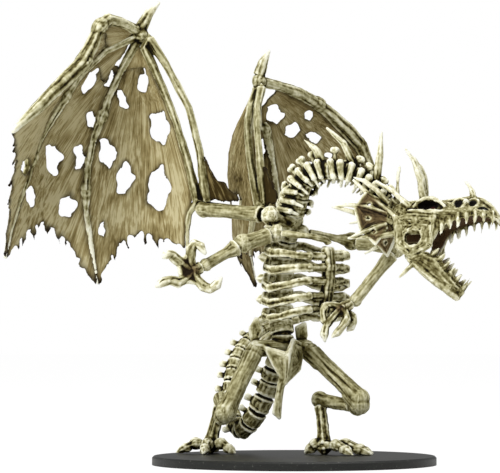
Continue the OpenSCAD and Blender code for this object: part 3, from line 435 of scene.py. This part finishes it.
# Knuckles of a toe: share of its length, rise over its line and radius in mm, and half length as a share.
TOE_KNUCKLES = ((0.42, 2.1, 2.7), (0.7, 1.2, 2.3))
KNUCKLE_HALF = 0.03
for node, (ball, toes) in feet.items():
    toe_knuckles = []
    for x, y in toes:
        for share, rise, radius in TOE_KNUCKLES:
            spot = np.array(ball) + share * np.array((x - ball[0], y - ball[1], TOE_FALL)) + (0, 0, rise)
            way = KNUCKLE_HALF * np.array((x - ball[0], y - ball[1], 0))
            toe_knuckles.append([(*(spot - way), radius), (*(spot + way), radius)])
    carve(node, facet=0.35, swell=0.1, rounding=6, lumps=0.3, wash=1.4, forms=toe_knuckles)

# Legs.
# Thigh and shin, solid resin castings pegged and glued knob to shaft; the thighs flare towards hip and knee.
# Painted as the feet are, with less wash on the smooth shafts.
flares = {
    "right_thigh": [[(-18.6, 8.4, 51.2, 4.1), (-20.6, 5.8, 46.8, 3.4)],
                    [(-28.4, -4.6, 29.7, 3.6), (-31, -8, 24.6, 4.6)]],
    "left_thigh": [[(7.6, 19.1, 51, 4.4), (11.5, 16.2, 46.6, 3.8)],
                   [(25.8, 5.2, 31.6, 3.8), (30, 2, 27.6, 4.8)]]}
for node in ("right_shin", "left_shin", "right_thigh", "left_thigh"):
    carve(node, swell=0.3, lumps=0.18, wash=0.7, forms=flares.get(node, ()))

# Tail.
# Three resin castings glued end to end: drum-like vertebrae, with small paddles to the rear but for the tip.
# They follow the line of the spine, in mm from the tail's tip through the back to the head. Painted as bone.
SPINE_LINE = np.array([
    (18, 74, 70), (6, 77, 68), (-5, 75, 65), (-15, 70, 62), (-23, 63, 56), (-28, 56, 47), (-30, 50, 37),
    (-31, 46, 23), (-25, 36, 13), (-17, 27, 23), (-11, 24, 37), (-8, 20, 48), (-5, 17, 57), (-6, 19, 65),
    (-6, 21, 74), (-6, 21, 84), (-5, 20, 94), (-4, 17, 102), (-2, 14, 109), (-1, 12, 115), (1, 10, 121),
    (3, 8, 128), (8, 5, 133), (14, 3, 135), (20, 1, 135), (26, -1, 134), (32, -3, 130), (36, -5, 126),
    (41, -7, 121), (46, -9, 116)], dtype=float)
# How far along the line, in its points, the corners are rounded.
CORNER = 0.3


def on_spine(at):
    """Place on the line of the spine, and the way ahead there."""
    places = [np.interp(at + step, np.arange(len(SPINE_LINE)), axis)
              for axis in SPINE_LINE.T for step in (-CORNER, 0, CORNER)]
    behind, here, ahead = np.array(places).reshape(3, 3).T
    return (behind + 2 * here + ahead) / 4, (ahead - behind) / np.linalg.norm(ahead - behind)


# A drum: half its length as a share of the pitch, balls round a rim, their radius and how far in they lie,
# the radius of the wall's balls, all in mm, and the core's share of the radius.
DRUM_HALF = 0.33
RIM_BALLS = 12
RIM_RADIUS = 0.7
RIM_IN = 0.5
WALL_RADIUS = 0.5
CORE = 0.7
# A paddle: the way it points, the radius at its root and at its end, and half its breadth, in mm.
PADDLE_WAY = (-0.94, 0.2, 0.28)
PADDLE_ROOT = 0.9
PADDLE_END = 1.1
PADDLE_HALF = 0.6


def drums(first, last, count, wide, paddle=0.0):
    """Round drums with rims for the vertebrae between two places on the line, with paddles that long."""
    forms = []
    pitch = (last - first) / count
    for i in range(count):
        at = first + pitch * (i + 0.5)
        radius = wide[0] + (wide[1] - wide[0]) * (i + 0.5) / count
        rims = []
        for end in (at - DRUM_HALF * pitch, at + DRUM_HALF * pitch):
            centre, ahead = on_spine(end)
            across = np.cross(ahead, (0, 1, 0.2))
            across /= np.linalg.norm(across)
            other = np.cross(ahead, across)
            spokes = [np.cos(turn) * across + np.sin(turn) * other
                      for turn in np.arange(RIM_BALLS) * np.pi / (RIM_BALLS / 2)]
            rims.append([(*(centre + (radius - RIM_IN) * spoke), RIM_RADIUS) for spoke in spokes])
        wall = [(x, y, z, WALL_RADIUS) for x, y, z, _ in rims[0] + rims[1]]
        core = [(*on_spine(end)[0], CORE * radius) for end in (at - 0.5 * pitch, at + 0.5 * pitch)]
        forms += [*rims, wall, core]
        if paddle:
            centre, ahead = on_spine(at)
            out = np.array(PADDLE_WAY) - ahead * np.dot(ahead, PADDLE_WAY)
            tip = centre + (radius + paddle) * out / np.linalg.norm(out)
            half = PADDLE_HALF * ahead
            forms.append([(*centre, PADDLE_ROOT), (*(tip - half), PADDLE_END), (*(tip + half), PADDLE_END)])
    return forms


tail_forms = {"tail_root": drums(8, 10.6, 5, (4.7, 5.2), 2.8),
              "tail_loop": drums(3.5, 8, 9, (3.1, 4.6), 2.4),
              "tail_tip": drums(0, 3.5, 8, (1.6, 3.0))}
for node, forms in tail_forms.items():
    carve(node, rounding=5, wash=1.2, forms=forms, own=True)

# Pelvis.
# One smooth resin casting of hip blades, heart-shaped shield and prong, glued between the tail and the back.
# The thighs are pegged to its hip knobs. Painted as bone.
keel = (-2.9, 6, 50, 1.3)
shield_tip = (-4.1, 5.9, 37, 1.1)
right_shield = [(-13.3, 7.2, 53.2, 0.9), (-6.9, 5.8, 51.2, 1), keel, shield_tip, (-8.9, 6, 44.4, 1)]
left_shield = [keel, shield_tip, (-0.6, 8.8, 57, 0.8), (3.3, 17, 54.5, 1.2), (3, 14.9, 48.7, 1.4),
               (2.1, 12.3, 43.4, 1.2)]
right_blade = [(-17.4, 13.8, 66.3, 1.3), (-20, 13.8, 62, 1.2), (-15.2, 13.4, 61.5, 1.3),
               (-18.6, 12.6, 55.6, 1.6)]
left_blade = [(4.8, 23, 64, 1.2), (1.4, 22, 62.3, 1.2), (5.3, 23, 58.8, 1.2), (2.8, 21, 54, 1.6)]
hip_middle = (-6, 15, 53, 3.8)
right_hip = [hip_middle, (-17.8, 9.5, 53, 4.1)]
left_hip = [hip_middle, (5.8, 20.5, 53, 4.1)]
shield_strut = [(-13.3, 7.4, 52.8, 1.1), (-16.5, 10, 53.5, 2)]
prong_bend = (-6, 7, 37, 2)
prong_neck = (-7.2, 7, 29, 1.9)
prong = [[(-4.6, 7.5, 44, 1.8), prong_bend], [prong_bend, prong_neck],
         [prong_neck, (-9.1, 7, 23.4, 1.3), (-6.8, 7, 21.2, 1.1)]]
hip_forms = drums(10.6, 12.3, 2, (5, 5.2)) + [
    right_shield, left_shield, right_blade, left_blade, right_hip, left_hip, shield_strut, *prong]
carve("pelvis", rounding=10, soft=6, forms=hip_forms, own=True)

# Back.
# Resin column of drum-like vertebrae with knobbed spines, glued between the pelvis and the shoulders.
# Painted as bone; the rims of the drums are fused on.
carve("back_spine", rounding=6, forms=drums(12.3, 17.2, 6, (5.5, 5.5)))

# Rib cage.
# Two resin combs of ribs, each with half of the breastbone, glued to the back and along the front.
# Painted as bone, lumpier than the limbs.
for node in ("right_ribs", "left_ribs"):
    carve(node, facet=0.35, swell=0.5, rounding=12, lumps=0.32)

# Shoulders.
# Resin block on top of the spine and two collarbones, which are glued to it.
# Painted as bone, with soft edges.
for node in ("shoulder_girdle", "right_collarbone", "left_collarbone"):
    carve(node, rounding=14, soft=10)

# Arms and hands.
# Upper arm, forearm and hand, resin castings pegged and glued end to end. Painted as bone;
# the webs between the fingers are thin skin in brown.
for node in ("right_upper_arm", "left_upper_arm", "right_forearm", "left_forearm"):
    carve(node, swell=0.2, lumps=0.18, wash=0.7)
for node, thicker in (("right_hand", 0.6), ("left_hand", 0.25)):
    carve(node, facet=0.35, swell=thicker, rounding=7, web=1)

# Wing bones.
# Resin castings, pegged and glued: the upper arm, the pair of forearm bones, and the wrist with its thumb
# claw and three long fingers. Painted as bone, the arms a little darker.
for node in ("right_wing_arm", "left_wing_arm", "right_wing_forearm", "left_wing_forearm"):
    carve(node, lumps=0.18, wash=0.7, tone=0.5)


# A bulge's far and near end: distance from the knuckle's groove in mm, and share of the finger's radius.
BULGE = ((3.2, 0.85), (0.9, 1.35))


def knuckle(x, y, z, ahead, radius):
    """Two bulges with a groove between them, at a place on a finger that runs ahead."""
    there = np.array((x, y, z), dtype=float)
    way = np.array(ahead, dtype=float) / np.linalg.norm(ahead)
    return [[(*(there + side * reach * way), share * radius) for reach, share in BULGE] for side in (-1, 1)]


finger_knuckles = {
    "right_wing_fingers": [
        knuckle(-107, 18, 170, (-12, -3, -19), 1.9), knuckle(-122, 15, 141, (-4, -1, -14), 2.0),
        knuckle(-90, 30, 162, (-6, 1, -16), 2.0), knuckle(-98, 31, 127, (0, 0, -16), 1.8),
        knuckle(-90, 11, 202, (-4, -4, -6), 2.5), knuckle(-97, 5, 185, (-6, -6, -10), 2.7)],
    "left_wing_fingers": [
        knuckle(12, 112, 174, (12, 11, -8), 2.4), knuckle(33, 131, 155, (7, 7, -11), 2.4),
        knuckle(-14, 103, 160, (4, 8, -12), 1.8), knuckle(-25, 99, 130, (0, 5, -22), 1.8)]}
for node, bulges in finger_knuckles.items():
    carve(node, swell=0.5, lumps=0.2, forms=sum(bulges, []))


# Neck.
# Two resin runs of vertebrae, glued to the shoulders, to each other and to the skull: paddle-ended spines on
# top, bars along the sides, small prongs below and long curved spikes. Painted as bone with a strong wash.
def chain(balls):
    """Bar through balls: one form round each two that follow each other."""
    return [list(pair) for pair in zip(balls, balls[1:])]


def bent_rod(radii, *places):
    """Bar through places in mm, with a radius for each."""
    return chain([(*place, radius) for place, radius in zip(places, radii)])


# Ends of a vertebra's side bar: shares of its radius to the side and the back, mm ahead, and radius in mm.
BAR_TOP = (0.95, 0.75, -1.2, 1.8)
BAR_FOOT = (1.15, -0.75, 0.9, 1.4)
# A prong's length in mm, how much longer every second one is, its tip's share of the vertebra's radius to the
# side and mm ahead, and its radii at root and tip.
PRONG_SHORT = 1.2
PRONG_LONGER = 1.6
PRONG_OUT = 0.6
PRONG_AHEAD = 0.4
PRONG_RADII = (0.9, 0.6)
# A spine's lean, its paddle's depth and half breadth in mm, its radii, and the radii of the paddle's corners.
SPINE_LEAN = 0.15
PADDLE_DEEP = 1.5
PADDLE_BROAD = 0.9
SPINE_RADII = (1.3, 1.1)
PADDLE_RADII = (1.2, 1.5, 1.5)


def neck_forms(first, last, count, side, wide, spines):
    """Side bars, prongs and spines for the vertebrae between two places on the line of the spine."""
    forms = []
    for i in range(count):
        at = first + (last - first) * (i + 0.5) / count
        centre, ahead = on_spine(at)
        back = np.cross(side, ahead)
        back /= np.linalg.norm(back)
        radius = wide[0] + (wide[1] - wide[0]) * i / (count - 1)
        prong_reach = radius + PRONG_SHORT + PRONG_LONGER * (i % 2)
        for flank in (-1, 1):
            bar = [(*(centre + flank * out * radius * side + rise * radius * back + on * ahead), thick)
                   for out, rise, on, thick in (BAR_TOP, BAR_FOOT)]
            tip = centre + flank * PRONG_OUT * radius * side - prong_reach * back + PRONG_AHEAD * ahead
            forms += [bar, *bent_rod(PRONG_RADII, bar[1][:3], tip)]
        if spines[i]:
            end = centre + (radius + spines[i]) * back - SPINE_LEAN * spines[i] * ahead
            below = end - PADDLE_DEEP * back
            corners = (end + PADDLE_BROAD * ahead, end - PADDLE_BROAD * ahead)
            forms += bent_rod(SPINE_RADII, centre + 0.5 * radius * back, below)
            forms.append([(*spot, thick) for spot, thick in zip((below, *corners), PADDLE_RADII)])
    return forms


# Radii of a long curved spike at its root, bend and tip.
SPIKE_RADII = (2.1, 1.6, 0.6)
# The neck's own right side, turned with the trunk below and with the head above.
TRUNK_SIDE = np.array((-0.707, -0.707, 0))
HEAD_SIDE = np.array((-0.342, -0.94, 0))
lower = neck_forms(19, 23.5, 7, TRUNK_SIDE, (5.2, 4.6), (4.6, 4.6, 5, 5.5, 5, 4.5, 0))
lower += drums(19, 23.5, 7, (5.8, 4.3))
lower += bent_rod(SPIKE_RADII, (13, 3, 138.5), (10, 3.5, 144.5), (4.8, 4, 148.8))
upper = neck_forms(23.5, 28.3, 7, HEAD_SIDE, (4.6, 4.0), (4.5, 0, 3, 2.5, 0, 2.5, 2))
upper += drums(23.5, 28.3, 7, (4.3, 3.7))
upper += bent_rod(SPIKE_RADII, (27, -1.2, 137), (22.8, -0.5, 147), (15, 0, 154))
upper += bent_rod(SPIKE_RADII, (37.6, -5.5, 130), (39.3, -5.5, 141.5), (40, -5.5, 151.5))
for node, forms in (("neck_lower", lower), ("neck_upper", upper)):
    carve(node, facet=0.35, rounding=5, wash=1.2, forms=forms, own=True)

# Skull and jaw.
# Two resin castings with horns, teeth and open sockets; the jaw is glued in open. The sockets are painted
# black with a dull red glint in the eyes, and the gums brown.
# The head is turned and tilted towards the front, and the jaw dropped, in radians. Places are in mm.
head_turn = Matrix.Rotation(-0.349, 4, "Z")
head_tilt = Matrix.Rotation(-0.262, 4, "X")
jaw_drop = Matrix.Rotation(0.681, 4, "Y")
head_place = Matrix.Translation((46, -9, 116)) @ head_turn @ head_tilt
jaw_place = head_place @ Matrix.Translation((4, 0, -16)) @ jaw_drop


def ridge(place, *balls):
    """Bar through balls given in the head's or the jaw's own directions, in mm: ahead, to a side, up."""
    return chain([(*(place @ Vector(ball[:3])), ball[3]) for ball in balls])


def plate(place, *balls):
    """One form round all the balls."""
    return [sum(ridge(place, *balls), [])]


# Gum lines of the skull and of the jaw, in their own directions: ahead, half the breadth, height.
gum_x = (18, 22, 26, 32, 38, 42, 46, 49.5)
gum_half = (8.4, 8, 7.6, 7, 6.2, 5.2, 3.8, 2)
gum_z = (-14, -12.4, -10, -7.4, -5.4, -5, -5.6, -6.6)
jaw_x = (12.5, 15, 18, 22, 26, 31, 36, 38.5)
jaw_half = (8.5, 8.4, 8.2, 7.6, 6.6, 5, 2.8, 0)
jaw_top = (0.5, 3.5, 7, 6.6, 5.7, 4.6, 3.6, 3.4)
# Teeth: where the rows start, the pitch and the count on a side.
TOOTH_PITCH = 3.7
upper_teeth = 21.2 + TOOTH_PITCH * np.arange(8)
lower_teeth = 19 + TOOTH_PITCH * np.arange(6)
# A tooth's root, neck and tip: ahead of its place, in from the gum line, up from it, and radius.
UPPER_TOOTH = ((-0.4, 0.9, 3.6, 1), (0, 0.4, 0.8, 1.3), (0.5, 0, -2.6, 0.4))
LOWER_TOOTH = ((0, 0.6, -3, 1), (0, 0.3, -0.4, 1.3), (0.3, 0.2, 2.6, 0.4))


def teeth(place, flank, row, gum_ahead, gum_out, gum_up, tooth):
    """Teeth with their roots along one side of a gum line."""
    forms = []
    for x in row:
        y = np.interp(x, gum_ahead, gum_out)
        z = np.interp(x, gum_ahead, gum_up)
        forms += ridge(place, *[(x + on, flank * (y - sunk), z + rise, radius)
                                for on, sunk, rise, radius in tooth])
    return forms


# Openings in the snout: ahead, height and radius of the rim. The snout's half breadth is for the first one.
snout_holes = ((31.5, 0.8, 3.1), (37.8, 1.1, 2.7))
SNOUT_HALF = 5.1
SNOUT_TAPER = 0.13
# Their rims: balls from start to end, the balls' radius, how far in they lie, and how far they lean in on top.
SNOUT_RIM_BALLS = 9
SNOUT_RIM_RADIUS = 0.9
SNOUT_RIM_IN = 0.7
SNOUT_RIM_LEAN = 0.5

# Ridge on the snout, hook of the beak, then two horns in the frame's own directions.
skull_forms = ridge(head_place, (22, 0, 3, 1.6), (30, 0, 3.6, 1.8), (36, 0, 4.4, 2), (41, 0, 3.6, 1.6),
                    (46, 0, 0, 1.3))
skull_forms += ridge(head_place, (46, 0, -1.8, 2.2), (49.3, 0, -5, 1.2), (50, 0, -8, 0.5))
cheek_horn = [(53.5, -19.5, 116, 1.5), (45, -15.5, 124, 1.4), (37.5, -11.5, 128.7, 0.8)]
tall_horn = [(58.8, -13.6, 120, 2.1), (57.4, -13.6, 130, 1.7), (54.6, -13.6, 138, 1.2),
             (50.6, -13.6, 143.6, 0.5)]
skull_forms += chain(cheek_horn) + chain(tall_horn)
jaw_forms = []
for flank in (-1, 1):
    # Brow, bar below the eye, cheek, bar down to the jaw, and rim of the hollow behind it.
    skull_forms += ridge(head_place, (11.2, flank * 8.4, -2.2, 0.7), (13, flank * 8.8, 0.6, 1),
                         (16, flank * 8.8, 2.3, 1.2), (20, flank * 8.2, 2.7, 1.2),
                         (23.4, flank * 7.3, 1.2, 1), (25.4, flank * 6.7, -0.8, 0.6))
    skull_forms += ridge(head_place, (8, flank * 8.2, -4.4, 1), (12, flank * 8.9, -3.7, 1),
                         (18, flank * 9.2, -3.7, 1), (23, flank * 8.2, -3.6, 0.9),
                         (27, flank * 6.6, -3, 0.5))
    skull_forms += plate(head_place, (6.6, flank * 7.6, -6, 2.2), (13, flank * 8, -5.6, 2.2),
                         (21, flank * 7.6, -6, 2), (21, flank * 7.4, -12, 1.8), (13, flank * 7.9, -11, 2.2),
                         (6, flank * 7.6, -12, 2))
    skull_forms += plate(head_place, (18, flank * 7.6, -8, 2), (23.5, flank * 7, -8, 1.6),
                         (21.5, flank * 7.4, -14, 1.6), (18.6, flank * 8, -19.5, 1.6),
                         (17, flank * 7.8, -12, 1.8))
    skull_forms += ridge(head_place, (5.6, flank * 8.2, -7, 1.6), (5.2, flank * 8.4, -14, 1.5),
                         (6, flank * 8.4, -20, 1.5), (12, flank * 8.4, -23, 1.5),
                         (18, flank * 8.2, -20, 1.4))
    # Rims round the openings in the snout.
    for x, z, radius in snout_holes:
        half = SNOUT_HALF - SNOUT_TAPER * (x - snout_holes[0][0])
        rim_balls = []
        for turn in np.linspace(0, 2 * np.pi, SNOUT_RIM_BALLS):
            out = half - SNOUT_RIM_IN - SNOUT_RIM_LEAN * radius * np.sin(turn)
            spot = (x + radius * np.cos(turn), flank * out, z + radius * np.sin(turn))
            rim_balls.append((*spot, SNOUT_RIM_RADIUS))
        skull_forms += ridge(head_place, *rim_balls)
    # Teeth above and below, and the jaw's lower edge.
    skull_forms += teeth(head_place, flank, upper_teeth, gum_x, gum_half, gum_z, UPPER_TOOTH)
    jaw_forms += teeth(jaw_place, flank, lower_teeth, jaw_x, jaw_half, jaw_top, LOWER_TOOTH)
    jaw_forms += ridge(jaw_place, (12.5, flank * 8.5, -3.2, 1.4), (18, flank * 8.4, -3.2, 1.6),
                       (26, flank * 6.8, -2.8, 1.5), (33, flank * 4.2, -2.2, 1.6),
                       (38, flank * 0.5, -1.8, 1.7))
skull = carve("skull", facet=0.28, rounding=3, soft=8, lumps=0.36, wash=1.1, tone=0.52, forms=skull_forms)
jaw = carve("lower_jaw", facet=0.28, rounding=3, soft=6, lumps=0.32, wash=1.1, tone=0.48, forms=jaw_forms)


def in_place(piece, place):
    """The piece's points in the directions of the head or the jaw, in mm."""
    points = points_of(piece.data)[0]
    return np.c_[points, np.ones(len(points))] @ np.array(place.inverted().transposed())[:, :3]


# The edge of an ovoid is soft over one part in this many of its radius.
OVOID_EDGE = 3


def inside(points, centre, radii):
    """1 inside an ovoid on either side of the head, 0 outside, soft in between."""
    away = (np.c_[points[:, 0], np.abs(points[:, 1]), points[:, 2]] - centre) / radii
    return np.clip(0.5 + OVOID_EDGE - OVOID_EDGE * np.linalg.norm(away, axis=1), 0, 1)


# Where black, red and brown go: middle and radii of the ovoids in the head's own directions.
EYE_SOCKET = ((18.2, 7, -0.6), (5.2, 2.6, 2.4))
EYE_GLINT = ((19.6, 6.2, -1.5), (1.4, 2.2, 0.9))
SNOUT_PITS = (((31.5, 4.2, 0.8), (2.5, 2.4, 2.4)), ((37.8, 3.4, 1.1), (2.2, 2.2, 2)),
              ((42.7, 3.8, -1.3), (2.6, 1.8, 1.1)))
GLINT = 0.8
# Brown starts this far inside the gum lines, ahead of this place, up to this rise over the skull's gums, and
# over the jaw's floor. It is in the hollow of the cheek too, behind, inside and below these places.
GUM_IN = 0.9
GUM_RISE = 4
MOUTH_BACK = 16
JAW_GUM_IN = 0.6
JAW_FLOOR = 1
CHEEK_FRONT = 20
CHEEK_HALF = 7
CHEEK_TOP = -7
spots = in_place(skull, head_place)
ahead, out, up = spots[:, 0], np.abs(spots[:, 1]), spots[:, 2]
paint(skull.data, "pit", np.max([inside(spots, *pit) for pit in (EYE_SOCKET, *SNOUT_PITS)], axis=0))
paint(skull.data, "eye", GLINT * inside(spots, *EYE_GLINT))
half = np.interp(ahead, gum_x, gum_half)
gum = np.interp(ahead, gum_x, gum_z)
mouth = np.clip(half - GUM_IN - out, 0, 1) * np.clip(gum + GUM_RISE - up, 0, 1) * (ahead > MOUTH_BACK)
cheek_hollow = np.clip(CHEEK_HALF - out, 0, 1) * (ahead < CHEEK_FRONT) * (up < CHEEK_TOP)
paint(skull.data, "gum", np.maximum(mouth, cheek_hollow))
spots = in_place(jaw, jaw_place)
ahead, out, up = spots[:, 0], np.abs(spots[:, 1]), spots[:, 2]
half = np.interp(ahead, jaw_x, jaw_half)
paint(jaw.data, "gum", np.clip(half - JAW_GUM_IN - out, 0, 1) * np.clip(up + JAW_FLOOR, 0, 1))

# Frills.
# Spines with thin torn skin behind each cheek, one resin casting a side, glued to the skull.
# The spines are painted as bone and the skin brown. The right one's spines are thickened by rods.
ROD_RADII = (1.4, 1.2, 0.5)
frill_rods = bent_rod(ROD_RADII, (46.3, -17.5, 112.5), (36, -14, 121), (27, -10, 129.5))
frill_rods += bent_rod(ROD_RADII, (45, -17.5, 110), (31, -15, 113.8), (17.5, -12.5, 117.4))
frill_rods += bent_rod(ROD_RADII, (46, -18.5, 105), (35, -18.5, 103.5), (24.6, -18.2, 103))
for node, forms in (("right_frill", frill_rods), ("left_frill", ())):
    carve(node, facet=0.28, swell=0.2, rounding=5, lumps=0.1, web=1, forms=forms)

# Wing skins.
# Thin torn sheets of resin cast between the fingers and glued to them. Painted tan over dark brown, streaked
# away from the wrist, with the torn edges lined in dark brown.

# Acrylic on resin, brushed out in long strokes: uneven tan, matt, with dark lines that fan out from the
# wrist. The grain is drawn coarser than that of real paint, so that it shows.
SMUDGE = 12 * MM
GRAIN = 0.6 * MM
skin_paint, tree = new_material("streaked_tan_paint")
place = put(tree, "ShaderNodeTexCoord").outputs["Object"]
given = put(tree, "ShaderNodeAttribute", attribute_name="tone").outputs["Fac"]
edge = put(tree, "ShaderNodeAttribute", attribute_name="rim").outputs["Fac"]
smudge = put(tree, "ShaderNodeTexNoise", {
    "Vector": place, "Scale": 1 / SMUDGE, "Detail": 4.0}).outputs["Fac"]
spread = put(tree, "ShaderNodeAttribute", attribute_name="fan").outputs["Vector"]
line = put(tree, "ShaderNodeTexNoise", {"Vector": spread, "Scale": 1.0, "Detail": 3.0}).outputs["Fac"]
broad = put(tree, "ShaderNodeMath", {0: smudge, 1: 0.5, 2: given}, operation="MULTIPLY_ADD").outputs[0]
streaky = put(tree, "ShaderNodeMath", {0: line, 1: 0.9, 2: broad}, operation="MULTIPLY_ADD").outputs[0]
tan = put(tree, "ShaderNodeValToRGB", {"Fac": streaky}, [
    (0.48, "#372b0e"), (0.73, "#85764b"), (0.92, "#a99c70"), (1.0, "#c4ba92")]).outputs[0]
lined = put(tree, "ShaderNodeMix", {
    "Factor": edge, UNDER: tan, OVER: linear("#1e1507")}, data_type="RGBA").outputs[MIXED]
grain = put(tree, "ShaderNodeTexNoise", {"Vector": place, "Scale": 1 / GRAIN, "Detail": 2.0}).outputs["Fac"]
leathery = put(tree, "ShaderNodeBump", {"Height": grain, "Strength": 0.25, "Distance": 0.08 * MM}).outputs[0]
surface = put(tree, "ShaderNodeBsdfPrincipled", {
    "Base Color": lined, "Roughness": 0.8, "Specular IOR Level": 0.1, "Normal": leathery}).outputs[0]
put(tree, "ShaderNodeOutputMaterial", {"Surface": surface})

# Facets in mm, steps of rounding, and steps out to the neighbours over which a sheet shows how it faces.
SHEET_FACET = 0.45
SHEET_ROUNDING = 10
SHEET_STEPS = 8
# Within this distance of a bone the rim grows this far into it, in mm, and fades out in so many steps.
NEAR_BONE = 1.5
GROWS = 1.6
HOLD_FADE = 2
# Elsewhere it is ragged: size and depth of the tears in mm, and steps over which the push is spread.
TEARS = ((4.5, 3.4), (1.7, 2.2))
PUSH_SPREAD = 3
# Raised strokes, fine and broad: width and half length in mm, and share. Then their height in mm, and what the
# paint gets from them.
STROKES = ((0.7, 7, 0.7), (1.8, 12, 0.5))
STROKE_HEIGHT = 0.05
STROKE_TONE = 0.07
# Shade beside the bones, and the steps over which it is spread.
BONE_SHADE = 0.14
BONE_SHADE_SPREAD = 8
# Dark edge: how fast it comes as the surface turns over the rim, steps over which it is spread, and strength.
EDGE_TURN = 3
EDGE_SPREAD = 4
EDGE_DARK = 1.6
# The painted lines are 1 mm wide at this distance from the wrist in mm, and change by this a mm along them.
FAN = 110.0
FAN_RUN = 0.03


def tear(node, bones, wrist, tone, patches=()):
    """Wing skin from its CAD solid: rim grown into the bones or made ragged, streaks away from the wrist."""
    piece = copy_solid(node, SHEET_FACET, patches)
    points, pairs = points_of(piece.data)
    points = rounded(points, pairs, SHEET_ROUNDING)
    normals = move_points(piece.data, points)
    flat = facing(normals, pairs, SHEET_STEPS)[1][:, :, 2]
    along = np.einsum("ni,ni->n", normals, flat)
    rim = 1 - np.abs(along)
    outward = normals - flat * along[:, None]
    ragged = sum(depth * noise_at(points, size) for size, depth in TEARS)
    near = [bones.find(point)[2] < NEAR_BONE * MM for point in (points * MM).tolist()]
    held = mean(np.array(near, dtype=float), pairs, HOLD_FADE)
    push = outward * (held * GROWS + (1 - held) * ragged)[:, None]
    points = points + mean(push, pairs, PUSH_SPREAD)
    normals = move_points(piece.data, points)
    points = rounded(points, pairs, 1)
    away = points - np.array(wrist)
    away /= np.linalg.norm(away, axis=1, keepdims=True)
    streaks = sum(share * grain_along(points, away, width, reach) for width, reach, share in STROKES)
    points = points + normals * STROKE_HEIGHT * streaks[:, None]
    move_points(piece.data, points)
    fan = FAN * away + FAN_RUN * np.linalg.norm(points - np.array(wrist), axis=1, keepdims=True)
    piece.data.attributes.new("fan", "FLOAT_VECTOR", "POINT").data.foreach_set("vector", fan.ravel())
    shade = BONE_SHADE * mean(held, pairs, BONE_SHADE_SPREAD)
    paint(piece.data, "tone", tone + STROKE_TONE * streaks - shade)
    edge = mean(np.clip(EDGE_TURN * rim, 0, 1), pairs, EDGE_SPREAD)
    paint(piece.data, "rim", np.clip(EDGE_DARK * edge, 0, 1))
    piece.data.materials.append(skin_paint)
    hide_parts(node)
    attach(piece, "root")


# Corners of the patches by which the sheets of the raised wing run up to its wrist, and half their thickness.
PATCH_RADIUS = 0.5
wrist_patches = {
    "right_skin_outer": [(-76, 25, 202), (-84, 18, 204), (-88, 14, 200), (-86, 23.5, 193.5),
                         (-77, 26.6, 198)],
    "right_skin_middle": [(-78, 26.8, 197), (-93, 22.5, 188), (-89, 26, 179), (-80, 28, 192)],
    "right_skin_inner": [(-74.5, 29, 194.5), (-80.5, 29, 184), (-68, 27.8, 185), (-71.5, 28, 192.5)]}
# Each wing's wrist in mm, and the tones of its sheets, which carry painted shade: the sheets nearer the body
# and those of the far wing are darker, and the small web before the elbow is darker still.
wings = {"right": ((-72, 28, 200), (0.3, 0.22, 0.18)), "left": ((-17, 84, 183), (0.12, 0.1, 0.1))}
WEB_DARKER = 0.42
for side, (wrist, shaded_tones) in wings.items():
    castings = [bpy.data.objects[side + bone + "_casting"].data
                for bone in ("_wing_fingers", "_wing_forearm", "_wing_arm")]
    bones = kdtree.KDTree(sum(len(mesh.vertices) for mesh in castings))
    for mesh in castings:
        for vertex in mesh.vertices:
            bones.insert(vertex.co, 0)
    bones.balance()
    for sheet, tone in zip(("_skin_outer", "_skin_middle", "_skin_inner"), shaded_tones):
        patch = [(*corner, PATCH_RADIUS) for corner in wrist_patches.get(side + sheet, ())]
        tear(side + sheet, bones, wrist, tone, [patch] if patch else ())
    tear(side + "_fore_web", bones, wrist, shaded_tones[1] - WEB_DARKER)

# Stage.
# Pale table and white surroundings, with a large soft lamp above the front left and a weaker one overhead.
# The table glows to the camera alone, and keeps a little of the figure's shadow.
TABLE_RADIUS = 6
TABLE_GLOW = 1.06
GLOW_SHARE = 0.9
SKY_LIGHT = 0.42
scene = bpy.context.scene
scene.view_settings.view_transform = "Standard"
table = bmesh.new()
bmesh.ops.create_circle(table, cap_ends=True, segments=96, radius=TABLE_RADIUS)
floor = bpy.data.objects.new("table", bpy.data.meshes.new("table"))
table.to_mesh(floor.data)
table.free()
bpy.context.collection.objects.link(floor)
white, tree = new_material("white_table")
matt = put(tree, "ShaderNodeBsdfDiffuse", {"Color": linear("#f4f4f2")}).outputs[0]
glow = put(tree, "ShaderNodeEmission", {"Color": linear("#ffffff"), "Strength": TABLE_GLOW}).outputs[0]
seen = put(tree, "ShaderNodeLightPath").outputs["Is Camera Ray"]
share = put(tree, "ShaderNodeMath", {0: seen, 1: GLOW_SHARE}, operation="MULTIPLY").outputs[0]
surface = put(tree, "ShaderNodeMixShader", {0: share, 1: matt, 2: glow}).outputs[0]
put(tree, "ShaderNodeOutputMaterial", {"Surface": surface})
floor.data.materials.append(white)

world = bpy.data.worlds.new("studio")
scene.world = world
world.use_nodes = True
tree = world.node_tree
tree.nodes.clear()
seen = put(tree, "ShaderNodeLightPath").outputs["Is Camera Ray"]
strength = put(tree, "ShaderNodeMapRange", {"Value": seen, "To Min": SKY_LIGHT, "To Max": 1.0}).outputs[0]
air = put(tree, "ShaderNodeBackground", {"Color": linear("#ffffff"), "Strength": strength}).outputs[0]
put(tree, "ShaderNodeOutputWorld", {"Surface": air})

# Each lamp's place and aim in metres, breadth in metres and power in watts.
lamps = {"key": ((-0.7, -0.9, 1.1), (-0.02, 0, 0.1), 0.6, 16),
         "top": ((0.3, 0.2, 1.3), (0, 0, 0.1), 0.8, 6)}
for name, (spot, aim, breadth, watts) in lamps.items():
    lamp = bpy.data.objects.new(name, bpy.data.lights.new(name, "AREA"))
    lamp.location = spot
    lamp.rotation_euler = (Vector(aim) - lamp.location).to_track_quat("-Z", "Y").to_euler()
    lamp.data.size = breadth
    lamp.data.energy = watts
    bpy.context.collection.objects.link(lamp)
